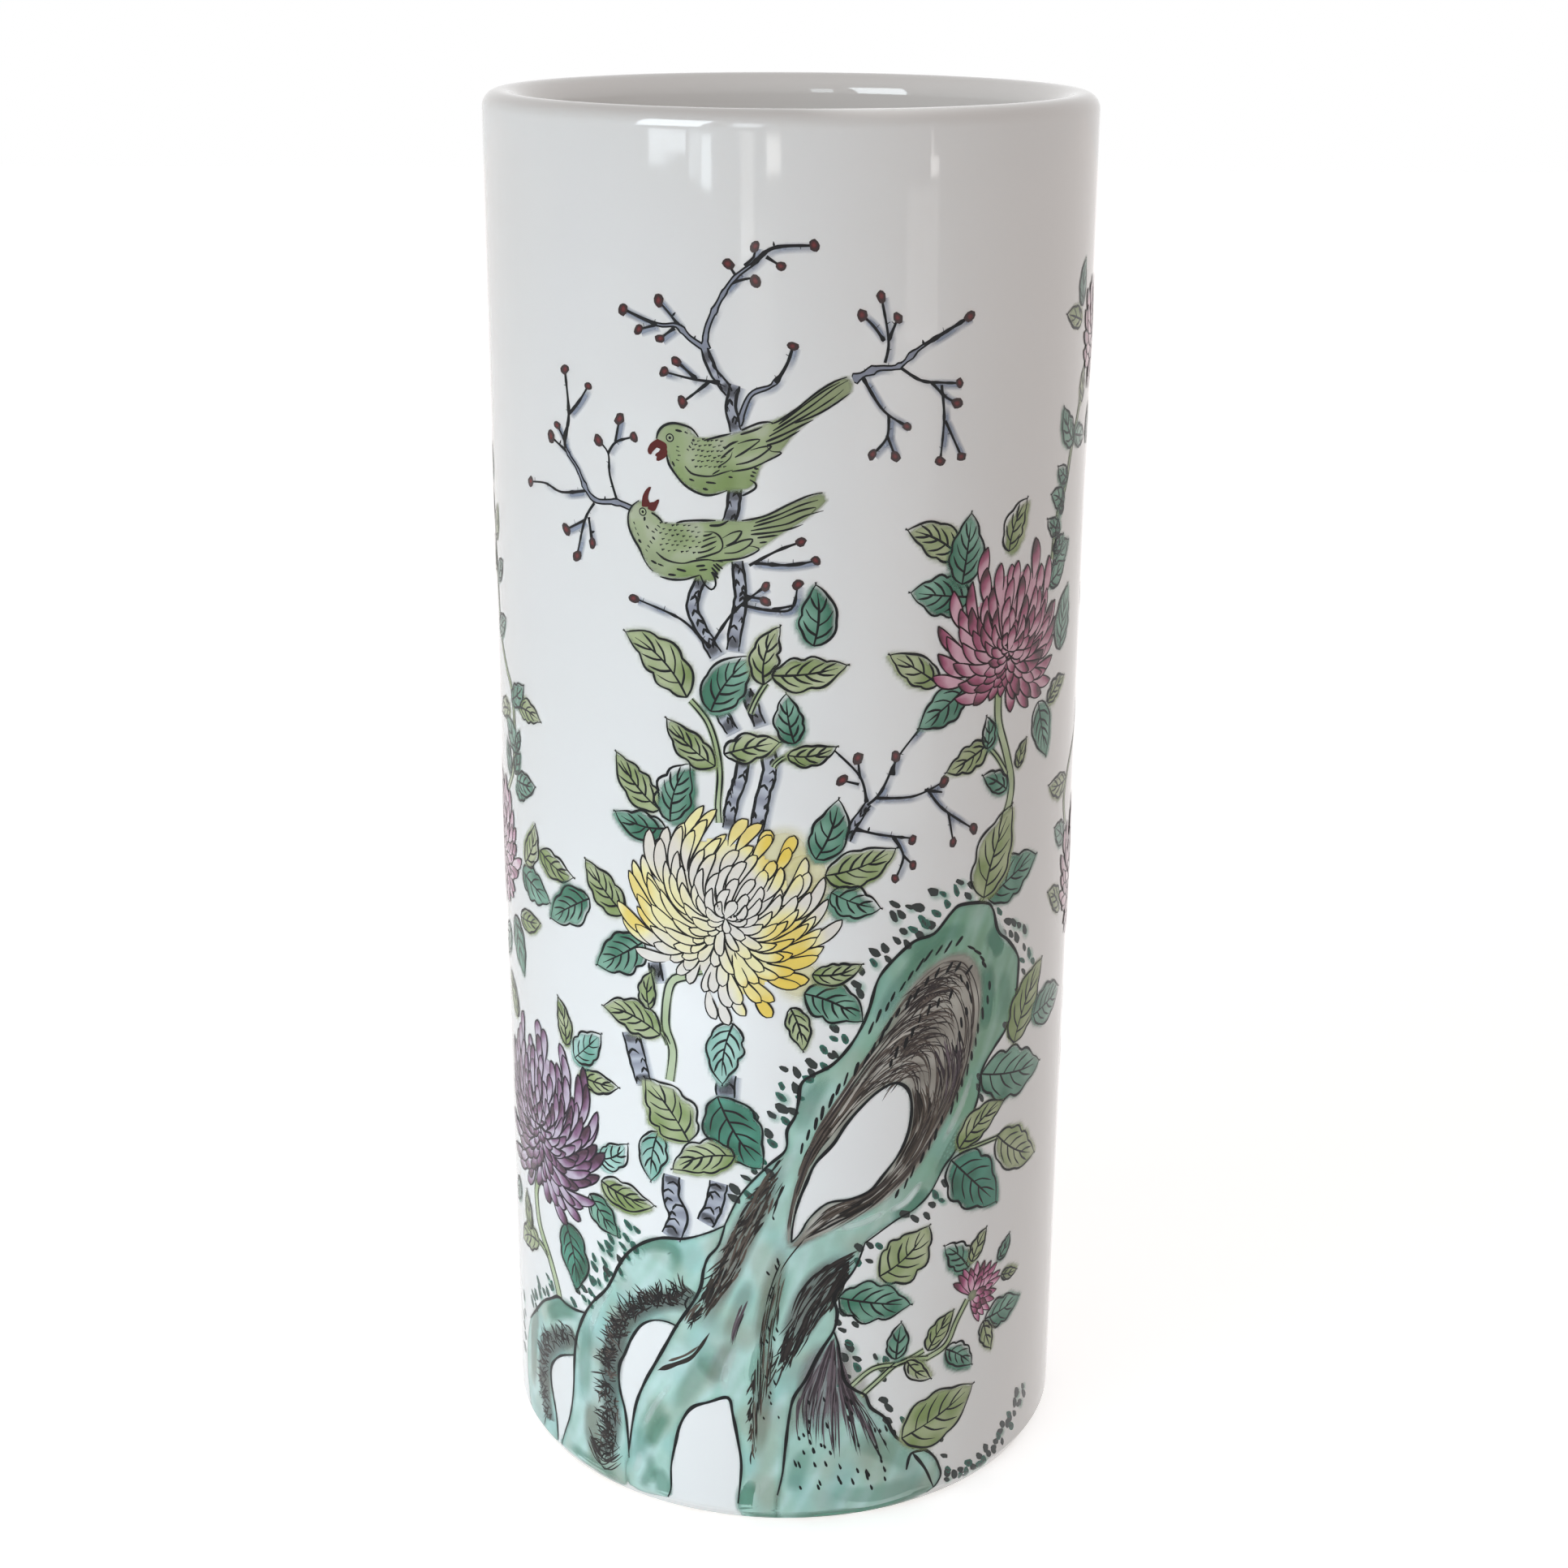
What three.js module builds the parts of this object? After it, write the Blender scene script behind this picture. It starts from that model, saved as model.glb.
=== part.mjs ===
// A cylindrical porcelain vase: a tall straight sleeve with a thick rounded lip,
// a floor slab let into the foot of the wall, and a bare ring on which it stands.
// Millimetres, +Z up. The origin is the centre of the ring that touches the table.
import * as THREE from "three";

// The sleeve
const vaseHeight = 286;
const outerRadius = 60;
const wallThickness = 8;

// The lip
const lipHeight = 7;
const lipOuterRound = 3.2;
const lipInnerRound = 4.2;
const lipFlat = 0.4; // least flat left between the two rounds

// The bare ring under the foot
const footRingHeight = 5;
const footRingWidth = 7;
const footRingInset = 2.2; // from the wall's face to the ring's outer side
const footRingRound = 1; // worn edges of the ring
const bareLine = 1; // height of bare ring that shows below the glaze
const heelRise = 2.4; // height of the glazed bevel at the foot of the wall

// The floor
const floorThickness = 9;
const floorDish = 2.2; // how much lower the floor is in the middle
const undersideDish = 1.4;
const floorCornerRound = 5;
const rebateDepth = 3; // how far the slab is let into the wall
const rebateHeight = 6;
const seatClearance = 0.3; // between the pieces where they stand side by side

// Fineness of the turned surfaces
const turnSteps = 72;
const arcSteps = 4;

const innerRadius = outerRadius - wallThickness;
const footOuterRadius = outerRadius - footRingInset;
const footInnerRadius = footOuterRadius - footRingWidth;
const rebateRadius = innerRadius + rebateDepth;
const rebateTop = footRingHeight + rebateHeight;
const floorTop = footRingHeight + floorThickness;
const lipBase = vaseHeight - lipHeight;

const glazedPorcelain = { color: 0xe9ebea, roughness: 0.12, metalness: 0 };
const barePorcelain = { color: 0xd9d0c0, roughness: 0.85, metalness: 0 };

// Points of a round arc in the profile plane, between two angles in degrees.
function arc(centreRadius, centreHeight, round, fromDegrees, toDegrees) {
  const points = [];
  for (let i = 0; i <= arcSteps; i++) {
    const degrees = fromDegrees + ((toDegrees - fromDegrees) * i) / arcSteps;
    const angle = THREE.MathUtils.degToRad(degrees);
    points.push([
      centreRadius + round * Math.cos(angle),
      centreHeight + round * Math.sin(angle),
    ]);
  }
  return points;
}

// A profile of [radius, height] points turned round the vase's axis. One that
// starts on the axis ends on it too, and any other closes on itself.
function turned(name, profile, finish) {
  const startsOnAxis = profile[0][0] === 0;
  const outline = startsOnAxis ? profile : [...profile, profile[0]];
  const mesh = new THREE.Mesh(
    new THREE.LatheGeometry(
      outline.map(([radius, height]) => new THREE.Vector2(radius, height)),
      turnSteps,
    ),
    new THREE.MeshStandardMaterial(finish),
  );
  mesh.name = name;
  mesh.rotation.x = Math.PI / 2; // the lathe turns round Y, the vase stands on Z
  return mesh;
}

// The ring of bare porcelain that meets the table, with worn round edges.
function footRing() {
  const worn = footRingRound;
  return turned(
    "foot_ring",
    [
      ...arc(footInnerRadius + worn, worn, worn, 180, 270),
      ...arc(footOuterRadius - worn, worn, worn, 270, 360),
      [footOuterRadius, footRingHeight],
      [footInnerRadius, footRingHeight],
    ],
    barePorcelain,
  );
}

// The sleeve: its skirt hides most of the ring, and its rebate takes the floor.
function bodyWall() {
  const skirtInside = footOuterRadius + seatClearance;
  return turned(
    "body_wall",
    [
      [rebateRadius, footRingHeight],
      [skirtInside, footRingHeight],
      [skirtInside, bareLine],
      [outerRadius, bareLine + heelRise],
      [outerRadius, lipBase],
      [innerRadius, lipBase],
      [innerRadius, rebateTop],
      [rebateRadius, rebateTop],
    ],
    glazedPorcelain,
  );
}

// The thick lip, rounder inside than outside. A thin wall makes both rounds smaller.
function rimLip() {
  const roundsFit = Math.min(
    1,
    (wallThickness - lipFlat) / (lipOuterRound + lipInnerRound),
  );
  const outer = lipOuterRound * roundsFit;
  const inner = lipInnerRound * roundsFit;
  return turned(
    "rim_lip",
    [
      [innerRadius, lipBase],
      [outerRadius, lipBase],
      ...arc(outerRadius - outer, vaseHeight - outer, outer, 0, 90),
      ...arc(innerRadius + inner, vaseHeight - inner, inner, 90, 180),
    ],
    glazedPorcelain,
  );
}

// The floor slab: it rests on the ring inside the rebate, and is dished both sides.
function floorSlab() {
  const round = floorCornerRound;
  const ledgeRadius = rebateRadius - seatClearance;
  const ledgeTop = rebateTop - seatClearance;
  const slabRadius = innerRadius - seatClearance;
  return turned(
    "floor_slab",
    [
      [0, footRingHeight + undersideDish],
      [footInnerRadius - undersideDish, footRingHeight + undersideDish],
      [footInnerRadius, footRingHeight],
      [ledgeRadius, footRingHeight],
      [ledgeRadius, ledgeTop],
      [slabRadius, ledgeTop],
      [slabRadius, floorTop],
      ...arc(slabRadius - round, floorTop + round - floorDish, round, -25, -90),
      [0, floorTop - floorDish],
    ],
    glazedPorcelain,
  );
}

const vase = new THREE.Group();
vase.name = "cylindrical_vase";
vase.add(footRing(), bodyWall(), floorSlab(), rimLip());

export default vase;
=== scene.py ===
import math
import random

import bmesh
import bpy
import numpy as np
from mathutils import Matrix, Vector, noise


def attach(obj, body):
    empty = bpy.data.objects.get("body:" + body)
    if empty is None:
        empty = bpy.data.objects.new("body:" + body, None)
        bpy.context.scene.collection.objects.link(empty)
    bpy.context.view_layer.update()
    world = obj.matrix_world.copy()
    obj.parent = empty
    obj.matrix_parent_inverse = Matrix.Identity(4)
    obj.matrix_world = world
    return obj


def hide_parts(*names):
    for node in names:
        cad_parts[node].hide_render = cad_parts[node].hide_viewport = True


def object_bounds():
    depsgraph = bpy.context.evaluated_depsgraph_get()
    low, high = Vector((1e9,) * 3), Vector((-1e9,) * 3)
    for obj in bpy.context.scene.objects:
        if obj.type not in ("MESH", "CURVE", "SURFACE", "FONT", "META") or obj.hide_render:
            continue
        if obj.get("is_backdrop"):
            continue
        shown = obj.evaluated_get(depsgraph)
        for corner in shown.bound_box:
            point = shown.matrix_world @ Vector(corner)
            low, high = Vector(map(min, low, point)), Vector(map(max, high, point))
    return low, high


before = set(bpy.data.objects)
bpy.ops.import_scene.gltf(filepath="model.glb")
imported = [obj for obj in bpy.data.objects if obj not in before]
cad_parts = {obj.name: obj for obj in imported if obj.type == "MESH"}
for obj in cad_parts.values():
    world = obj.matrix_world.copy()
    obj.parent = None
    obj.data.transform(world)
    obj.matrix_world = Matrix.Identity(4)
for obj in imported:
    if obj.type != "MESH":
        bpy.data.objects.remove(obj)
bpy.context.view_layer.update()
print("frame loaded:", sorted(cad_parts))

mm = 0.001
brush = random.Random(11)  # every chance draw of the painting comes from here

# The vase's own sizes in millimetres, the same as in the solids.
vase = {
    "height": 286.0,
    "radius": 60.0,
    "wall": 8.0,
    "lipOuterRound": 3.2,
    "lipInnerRound": 4.2,
    "skirtInside": 58.1,
    "bareLine": 1.0,
    "heelTop": 3.4,
    "heelRound": 1.2,
    "wallFoot": 16.8,      # where the inner wall turns into the cove of the floor
    "coveRound": 5.0,
    "underside": 6.4,
    "ringInner": 50.8,
    "ringOuter": 57.8,
    "ringHeight": 5.0,
    "ringWorn": 1.0,
    "seatGap": 0.02,       # between the glazed body and the top of the ring
    "undersideDish": 1.4,
    "skirtEdge": 0.3,      # the round of the skirt's foot
    "skirtReach": 0.45,    # from the skirt's inside to where that round meets the bevel
    "skirtFoot": 0.04,     # the height of that place above the bare line
    "heelLead": 0.6,       # the round above the bevel begins this much higher
    "heelTurn": 40,        # degrees of that round
    "closeRing": 0.4,      # a ring this close below the lip keeps the wall flat in mirror images
    "innerDrop": 1.0,
    "turnSteps": 256,
}


def arcPoints(centreRadius, centreHeight, roundness, fromDegrees, toDegrees, steps):
    points = []
    for i in range(steps + 1):
        angle = math.radians(fromDegrees + (toDegrees - fromDegrees) * i / steps)
        points.append((centreRadius + roundness * math.cos(angle),
                       centreHeight + roundness * math.sin(angle)))
    return points


def straight(start, end, steps):
    return [(start[0] + (end[0] - start[0]) * i / steps,
             start[1] + (end[1] - start[1]) * i / steps) for i in range(1, steps + 1)]


def placeMesh(name, mesh, material):
    mesh.materials.append(material)
    mesh.polygons.foreach_set("use_smooth", [True] * len(mesh.polygons))
    piece = bpy.data.objects.new(name, mesh)
    bpy.context.scene.collection.objects.link(piece)
    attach(piece, "root")
    return piece


def turnedMesh(name, profile, closed):
    form = bmesh.new()
    steps = vase["turnSteps"]
    rings = []
    for radius, height in profile:
        if radius < 1e-6:
            rings.append([form.verts.new((0, 0, height * mm))])
            continue
        turns = [2 * math.pi * i / steps for i in range(steps)]
        rings.append([form.verts.new((radius * math.cos(a) * mm, radius * math.sin(a) * mm,
                                      height * mm)) for a in turns])
    pairs = list(zip(rings, rings[1:]))
    if closed:
        pairs.append((rings[-1], rings[0]))
    for lower, upper in pairs:
        for i in range(steps):
            j = (i + 1) % steps
            if len(lower) == 1:
                form.faces.new((lower[0], upper[j], upper[i]))
            elif len(upper) == 1:
                form.faces.new((lower[i], lower[j], upper[0]))
            else:
                form.faces.new((lower[i], lower[j], upper[j], upper[i]))
    bmesh.ops.recalc_face_normals(form, faces=form.faces[:])
    mesh = bpy.data.meshes.new(name)
    form.to_mesh(mesh)
    form.free()
    return mesh


def glazedProfile():
    v = vase
    inner = v["radius"] - v["wall"]
    outerLip, innerLip = v["lipOuterRound"], v["lipInnerRound"]
    cove, heel, edge = v["coveRound"], v["heelRound"], v["skirtEdge"]
    seat, heelStart = v["ringHeight"] + v["seatGap"], v["heelTop"] + v["heelLead"]
    below = v["height"] - outerLip - v["closeRing"]
    profile = [(0, v["underside"])]
    profile += straight((0, v["underside"]), (v["ringInner"] - v["undersideDish"], v["underside"]), 6)
    profile += [(v["ringInner"], seat), (v["skirtInside"], seat), (v["skirtInside"], v["bareLine"] + edge)]
    profile += arcPoints(v["skirtInside"] + edge, v["bareLine"] + edge, edge, 180, 300, 4)
    profile += arcPoints(v["radius"] - heel, heelStart, heel, -v["heelTurn"], 0, 4)
    profile += straight((v["radius"], heelStart), (v["radius"], below), 60)
    profile += arcPoints(v["radius"] - outerLip, v["height"] - outerLip, outerLip, 0, 90, 10)
    profile += arcPoints(inner + innerLip, v["height"] - innerLip, innerLip, 90, 180, 12)
    profile += straight((inner, below - v["innerDrop"]), (inner, v["wallFoot"]), 40)
    profile += arcPoints(inner - cove, v["wallFoot"], cove, 0, -90, 8)[1:]
    profile += straight((inner - cove, v["wallFoot"] - cove), (0, v["wallFoot"] - cove), 6)
    return profile


def ringProfile():
    v = vase
    worn = v["ringWorn"]
    profile = arcPoints(v["ringInner"] + worn, worn, worn, 180, 270, 6)
    profile += arcPoints(v["ringOuter"] - worn, worn, worn, 270, 360, 6)
    profile += [(v["ringOuter"], v["ringHeight"]), (v["ringInner"], v["ringHeight"])]
    return profile


# Colours are written as a painter reads them, in hexadecimal, and used as linear light.
def paint(code, alpha=1.0):
    parts = [int(code[i:i + 2], 16) / 255 for i in (0, 2, 4)]
    linear = [p / 12.92 if p <= 0.04045 else ((p + 0.055) / 1.055) ** 2.4 for p in parts]
    return (*linear, alpha)


# The way from one place or colour to another.
def between(a, b, share):
    return tuple(x + (y - x) * share for x, y in zip(a, b))


def mixed(a, b, share):
    return between(a, b, min(1.0, max(0.0, share)))


def smoothStep(low, high, value):
    t = min(1.0, max(0.0, (value - low) / (high - low)))
    return t * t * (3 - 2 * t)


# Feeds a node's input with a plain number or with another node's output.
def feed(links, entry, source):
    if isinstance(source, (int, float)):
        entry.default_value = source
    else:
        links.new(source, entry)


def noiseFrom(nodes, links, scale, detail):
    place = nodes.new("ShaderNodeTexCoord")
    texture = nodes.new("ShaderNodeTexNoise")
    texture.inputs["Detail"].default_value = detail
    feed(links, texture.inputs["Scale"], scale)
    links.new(place.outputs["Object"], texture.inputs["Vector"])
    return texture.outputs["Fac"]


def mathFrom(nodes, links, operation, *sources):
    node = nodes.new("ShaderNodeMath")
    node.operation = operation
    for entry, source in zip(node.inputs, sources):
        feed(links, entry, source)
    return node.outputs[0]


# A node group that all enamels share: it makes the fired colour pool and streak a little.
def makeToneGroup():
    group = bpy.data.node_groups.new("enamel_tone", "ShaderNodeTree")
    group.interface.new_socket("Tint", in_out="INPUT", socket_type="NodeSocketColor")
    group.interface.new_socket("Mottle", in_out="INPUT", socket_type="NodeSocketFloat")
    group.interface.new_socket("Scale", in_out="INPUT", socket_type="NodeSocketFloat")
    group.interface.new_socket("Color", in_out="OUTPUT", socket_type="NodeSocketColor")
    nodes, links = group.nodes, group.links
    enter = nodes.new("NodeGroupInput")
    leave = nodes.new("NodeGroupOutput")
    pool = noiseFrom(nodes, links, enter.outputs["Scale"], 4)
    centred = mathFrom(nodes, links, "SUBTRACT", pool, 0.5)
    amount = mathFrom(nodes, links, "MULTIPLY_ADD", centred, enter.outputs["Mottle"], 1.0)
    tone = nodes.new("ShaderNodeVectorMath")
    tone.operation = "SCALE"
    links.new(enter.outputs["Tint"], tone.inputs[0])
    links.new(amount, tone.inputs["Scale"])
    links.new(tone.outputs["Vector"], leave.inputs["Color"])
    return group


toneGroup = makeToneGroup()


def newMaterial(name):
    material = bpy.data.materials.new(name)
    material.use_nodes = True
    nodes = material.node_tree.nodes
    return material, nodes, material.node_tree.links, nodes["Principled BSDF"]


enamels = {
    "wash": {"mottle": 0.35, "scale": 220, "roughness": 0.10, "ior": 1.5, "seeThrough": True},
    "petal": {"mottle": 0.2, "scale": 300, "roughness": 0.12, "ior": 1.5, "seeThrough": False},
    "line": {"mottle": 0.5, "scale": 500, "roughness": 0.3, "ior": 1.32, "seeThrough": False},
}


def enamelMaterial(name, look):
    material, nodes, links, shader = newMaterial(f"{name}_enamel")
    shader.inputs["Roughness"].default_value = look["roughness"]
    shader.inputs["IOR"].default_value = look["ior"]
    tint = nodes.new("ShaderNodeVertexColor")
    tint.layer_name = "tint"
    tone = nodes.new("ShaderNodeGroup")
    tone.node_tree = toneGroup
    tone.inputs["Mottle"].default_value = look["mottle"]
    tone.inputs["Scale"].default_value = look["scale"]
    links.new(tint.outputs["Color"], tone.inputs["Tint"])
    links.new(tone.outputs["Color"], shader.inputs["Base Color"])
    if look["seeThrough"]:
        links.new(tint.outputs["Alpha"], shader.inputs["Alpha"])
    return material


washEnamel, petalEnamel, lineEnamel = (enamelMaterial(name, look) for name, look in enamels.items())


def bumpInto(nodes, links, shader, height, strength, distance):
    bump = nodes.new("ShaderNodeBump")
    bump.inputs["Strength"].default_value = strength
    bump.inputs["Distance"].default_value = distance
    links.new(height, bump.inputs["Height"])
    links.new(bump.outputs["Normal"], shader.inputs["Normal"])


glazeLook = {
    "white": paint("E9EAEA"), "cloud": paint("E0E1E0"), "cloudScale": 12, "cloudDetail": 3,
    "roughness": 0.04, "ior": 1.5, "ripple": 0.03, "rippleDepth": 0.002, "rippleScale": 60, "rippleDetail": 2,
}


def glazeMaterial():
    look = glazeLook
    material, nodes, links, shader = newMaterial("glazed_porcelain")
    shader.inputs["Roughness"].default_value = look["roughness"]
    shader.inputs["IOR"].default_value = look["ior"]
    cloud = noiseFrom(nodes, links, look["cloudScale"], look["cloudDetail"])
    blend = nodes.new("ShaderNodeMix")
    blend.data_type = "RGBA"
    blend.inputs["A"].default_value = look["white"]
    blend.inputs["B"].default_value = look["cloud"]
    links.new(cloud, blend.inputs["Factor"])
    links.new(blend.outputs["Result"], shader.inputs["Base Color"])
    ripple = noiseFrom(nodes, links, look["rippleScale"], look["rippleDetail"])
    bumpInto(nodes, links, shader, ripple, look["ripple"], look["rippleDepth"])
    return material


biscuitLook = {
    "stain": paint("B49A7C"), "stainEnd": 0.3, "clay": paint("DDD7CC"), "clayStart": 0.6, "roughness": 0.85,
    "stainScale": 90, "stainDetail": 6, "grain": 0.3, "grainDepth": 0.0005,
}


def biscuitMaterial():
    look = biscuitLook
    material, nodes, links, shader = newMaterial("bare_porcelain")
    shader.inputs["Roughness"].default_value = look["roughness"]
    stain = noiseFrom(nodes, links, look["stainScale"], look["stainDetail"])
    ramp = nodes.new("ShaderNodeValToRGB")
    low, high = ramp.color_ramp.elements
    low.color, low.position = look["stain"], look["stainEnd"]
    high.color, high.position = look["clay"], look["clayStart"]
    links.new(stain, ramp.inputs["Fac"])
    links.new(ramp.outputs["Color"], shader.inputs["Base Color"])
    bumpInto(nodes, links, shader, stain, look["grain"], look["grainDepth"])
    return material


glazed = placeMesh("vase_glazed", turnedMesh("vase_glazed", glazedProfile(), False),
                   glazeMaterial())
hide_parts("body_wall", "rim_lip", "floor_slab")
ring = placeMesh("foot_ring_biscuit", turnedMesh("foot_ring_biscuit", ringProfile(), True),
                 biscuitMaterial())
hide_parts("foot_ring")
print("vase turned")

# The painting. Every place on the wall is (s, z) in millimetres: s runs round the wall to
# the right of the middle of the front, and z is the height. Enamel lies a hair above the wall.
painting = {
    "heelHair": 0.05,    # how much further out the enamel lies over the heel
    "lowest": 0.06,      # the least height of any enamel above the bare line
    "lowestWash": 0.1,
    "stripWidth": 1.1,   # narrow strips keep a wide ribbon on the round wall
}


def wallRadius(z):
    v = vase
    heel, turn = v["heelRound"], math.radians(v["heelTurn"])
    drop = v["heelTop"] + v["heelLead"] - z
    hair = painting["heelHair"] * smoothStep(-1.5, -0.3, drop)
    if drop <= 0:
        return v["radius"] + hair
    rounded = heel * math.sin(turn)
    if drop < rounded:
        return v["radius"] - heel + math.sqrt(heel ** 2 - drop ** 2) + hair
    start, end = v["radius"] - heel * (1 - math.cos(turn)), v["skirtInside"] + v["skirtReach"]
    share = (drop - rounded) / (v["heelTop"] + v["heelLead"] - v["skirtFoot"] - rounded - v["bareLine"])
    return start + (end - start) * share + hair


def onWall(s, z, lift):
    angle = s / vase["radius"]
    z = max(z, vase["bareLine"] + painting["lowest"])
    radius = wallRadius(z) + lift
    return (radius * math.sin(angle) * mm, -radius * math.cos(angle) * mm, z * mm)


def newSheet():
    return {"places": [], "faces": [], "tints": []}


def addPoint(sheet, place, lift, tint):
    sheet["places"].append((place[0], place[1], lift))
    sheet["tints"].append(tint)
    return len(sheet["places"]) - 1


def addFace(sheet, corners):
    area = 0.0
    for a, b in zip(corners, corners[1:] + corners[:1]):
        p, q = sheet["places"][a], sheet["places"][b]
        area += p[0] * q[1] - q[0] * p[1]
    if area < 0:
        corners = corners[::-1]
    sheet["faces"].append(corners)


def layPiece(sheet, name, material):
    mesh = bpy.data.meshes.new(name)
    mesh.from_pydata([onWall(*p) for p in sheet["places"]], [], sheet["faces"])
    tint = mesh.color_attributes.new("tint", "FLOAT_COLOR", "POINT")
    tint.data.foreach_set("color", np.array(sheet["tints"], np.float32).ravel())
    mesh.update()
    return placeMesh(name, mesh, material)


def smoothPath(points, spacing=0.9, closed=False):
    count = len(points)
    result = []
    for i in range(count if closed else count - 1):
        if closed:
            a, b, c, d = (points[(i + k) % count] for k in (-1, 0, 1, 2))
        else:
            a, b = points[max(i - 1, 0)], points[i]
            c, d = points[i + 1], points[min(i + 2, count - 1)]
        steps = max(1, round(math.dist(b, c) / spacing))
        for k in range(steps):
            t = k / steps
            result.append(tuple(
                0.5 * (2 * b[x] + (c[x] - a[x]) * t + (2 * a[x] - 5 * b[x] + 4 * c[x] - d[x]) * t * t
                       + (3 * b[x] - a[x] - 3 * c[x] + d[x]) * t ** 3) for x in (0, 1)))
    if not closed:
        result.append(tuple(points[-1]))
    return result


def sideways(path, i):
    a, b = path[max(i - 1, 0)], path[min(i + 1, len(path) - 1)]
    length = math.dist(a, b) or 1.0
    return (-(b[1] - a[1]) / length, (b[0] - a[0]) / length)


def moved(place, direction, distance):
    return (place[0] + direction[0] * distance, place[1] + direction[1] * distance)


def facing(angle):
    return (math.cos(angle), math.sin(angle))


def towards(degrees):
    return facing(math.radians(degrees))


# A place on the curve that leaves base for its control point and ends at tip.
def bent(base, control, tip, t):
    return tuple((1 - t) ** 2 * base[x] + 2 * t * (1 - t) * control[x] + t * t * tip[x] for x in (0, 1))


def cloudy(a, b, grain):
    return noise.noise(Vector((a, b, grain)))


def ribbon(sheet, path, widthAt, lift, tintAt, softEdge=0.0):
    widest = max(widthAt(i / 8) for i in range(9))
    strips = math.ceil(max(widest, 0.1) / painting["stripWidth"])
    columns = [(2 * k / strips - 1, 0) for k in range(strips + 1)]
    if softEdge:
        columns = [(-1, -1)] + columns + [(1, 1)]
    previous = None
    for i, place in enumerate(path):
        t = i / (len(path) - 1)
        side = sideways(path, i)
        half = widthAt(t) / 2
        row = []
        for sign, outside in columns:
            tint = tintAt(t)
            if outside:
                tint = (*tint[:3], 0.0)
            row.append(addPoint(sheet, moved(place, side, sign * half + outside * softEdge), lift, tint))
        if previous:
            for k in range(len(columns) - 1):
                addFace(sheet, [previous[k], previous[k + 1], row[k + 1], row[k]])
        previous = row


ink = paint("0B0C0F")


def stroke(sheet, points, width, lift, tint=ink, startShare=0.35, endShare=0.25, spacing=0.7):
    path = smoothPath(points, spacing)
    press = brush.uniform(0, 9)
    reach = 0.25 * len(path) * spacing

    def widthAt(t):
        swell = 0.95 + 0.5 * cloudy(t * reach, press, 0)
        start = startShare + (1 - startShare) * smoothStep(0, 0.15, t)
        end = endShare + (1 - endShare) * smoothStep(0, 0.3, 1 - t)
        return width * swell * min(start, end)

    ribbon(sheet, path, widthAt, lift, lambda t: tint)


def softStroke(sheet, points, width, lift, tint, strength, softness=0.8):
    path = smoothPath(points, 0.9)
    ribbon(sheet, path, lambda t: width * max(0.02, math.sin(math.pi * t)) ** 0.6, lift,
           lambda t: (*tint[:3], strength * min(1.0, 4 * t, 4 * (1 - t))), softness)


def disc(sheet, centre, size, turn, lift, tint, edgeTint=None, pointed=0.0, sides=10, rough=0.0):
    middle = addPoint(sheet, centre, lift, tint)
    rim = []
    for i in range(sides):
        angle = 2 * math.pi * i / sides
        jitter = 1 + rough * brush.uniform(-1, 1)
        long = size[0] * jitter * math.cos(angle) * (1 + pointed * max(0.0, math.cos(angle)))
        wide = size[1] * jitter * math.sin(angle)
        place = (centre[0] + long * math.cos(turn) - wide * math.sin(turn),
                 centre[1] + long * math.sin(turn) + wide * math.cos(turn))
        rim.append(addPoint(sheet, place, lift, edgeTint or tint))
    for i in range(sides):
        addFace(sheet, [middle, rim[i], rim[(i + 1) % sides]])


# How deep each spot lies inside an outline. Outside it the depth is negative.
def signedDistance(spots, outline):
    inside = np.zeros(len(spots), bool)
    nearest = np.full(len(spots), 1e9)
    for (ax, ay), (bx, by) in zip(outline, outline[1:] + outline[:1]):
        crosses = (ay > spots[:, 1]) != (by > spots[:, 1])
        if by != ay:
            inside ^= crosses & (spots[:, 0] < (bx - ax) * (spots[:, 1] - ay) / (by - ay) + ax)
        dx, dy = bx - ax, by - ay
        along = ((spots[:, 0] - ax) * dx + (spots[:, 1] - ay) * dy) / (dx * dx + dy * dy + 1e-12)
        along = np.clip(along, 0, 1)
        nearest = np.minimum(nearest, np.hypot(spots[:, 0] - ax - along * dx, spots[:, 1] - ay - along * dy))
    return np.where(inside, nearest, -nearest)


# A wash of colour inside an outline, with soft edges and holes left bare.
def regionWash(sheet, outline, holes, lift, tintAt, pitch=0.8, soft=0.9, spread=0.0):
    outline = smoothPath(outline, 1.5, True)
    holes = [smoothPath(hole, 1.5, True) for hole in holes]
    border = 1 + spread + soft
    lowest = vase["bareLine"] + painting["lowestWash"]
    lowS, highS = min(p[0] for p in outline) - border, max(p[0] for p in outline) + border
    lowZ, highZ = min(p[1] for p in outline) - border, max(p[1] for p in outline) + border
    across, up = int((highS - lowS) / pitch) + 1, int((highZ - lowZ) / pitch) + 1
    spots = np.array([(lowS + i * pitch, lowZ + j * pitch) for j in range(up) for i in range(across)])
    depth = signedDistance(spots, outline) + spread
    for hole in holes:
        depth = np.minimum(depth, -signedDistance(spots, hole))
    index = {}
    for j in range(up - 1):
        for i in range(across - 1):
            corners = [j * across + i, j * across + i + 1, (j + 1) * across + i + 1, (j + 1) * across + i]
            if max(depth[c] for c in corners) < -soft * 0.4 or spots[corners[2]][1] < lowest:
                continue
            for c in corners:
                if c not in index:
                    alpha = smoothStep(-soft * 0.4, soft * 0.6, depth[c])
                    tint = tintAt(spots[c][0], spots[c][1], depth[c])
                    index[c] = addPoint(sheet, tuple(spots[c]), lift, (*tint[:3], alpha * tint[3]))
            addFace(sheet, [index[c] for c in corners])


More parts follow.
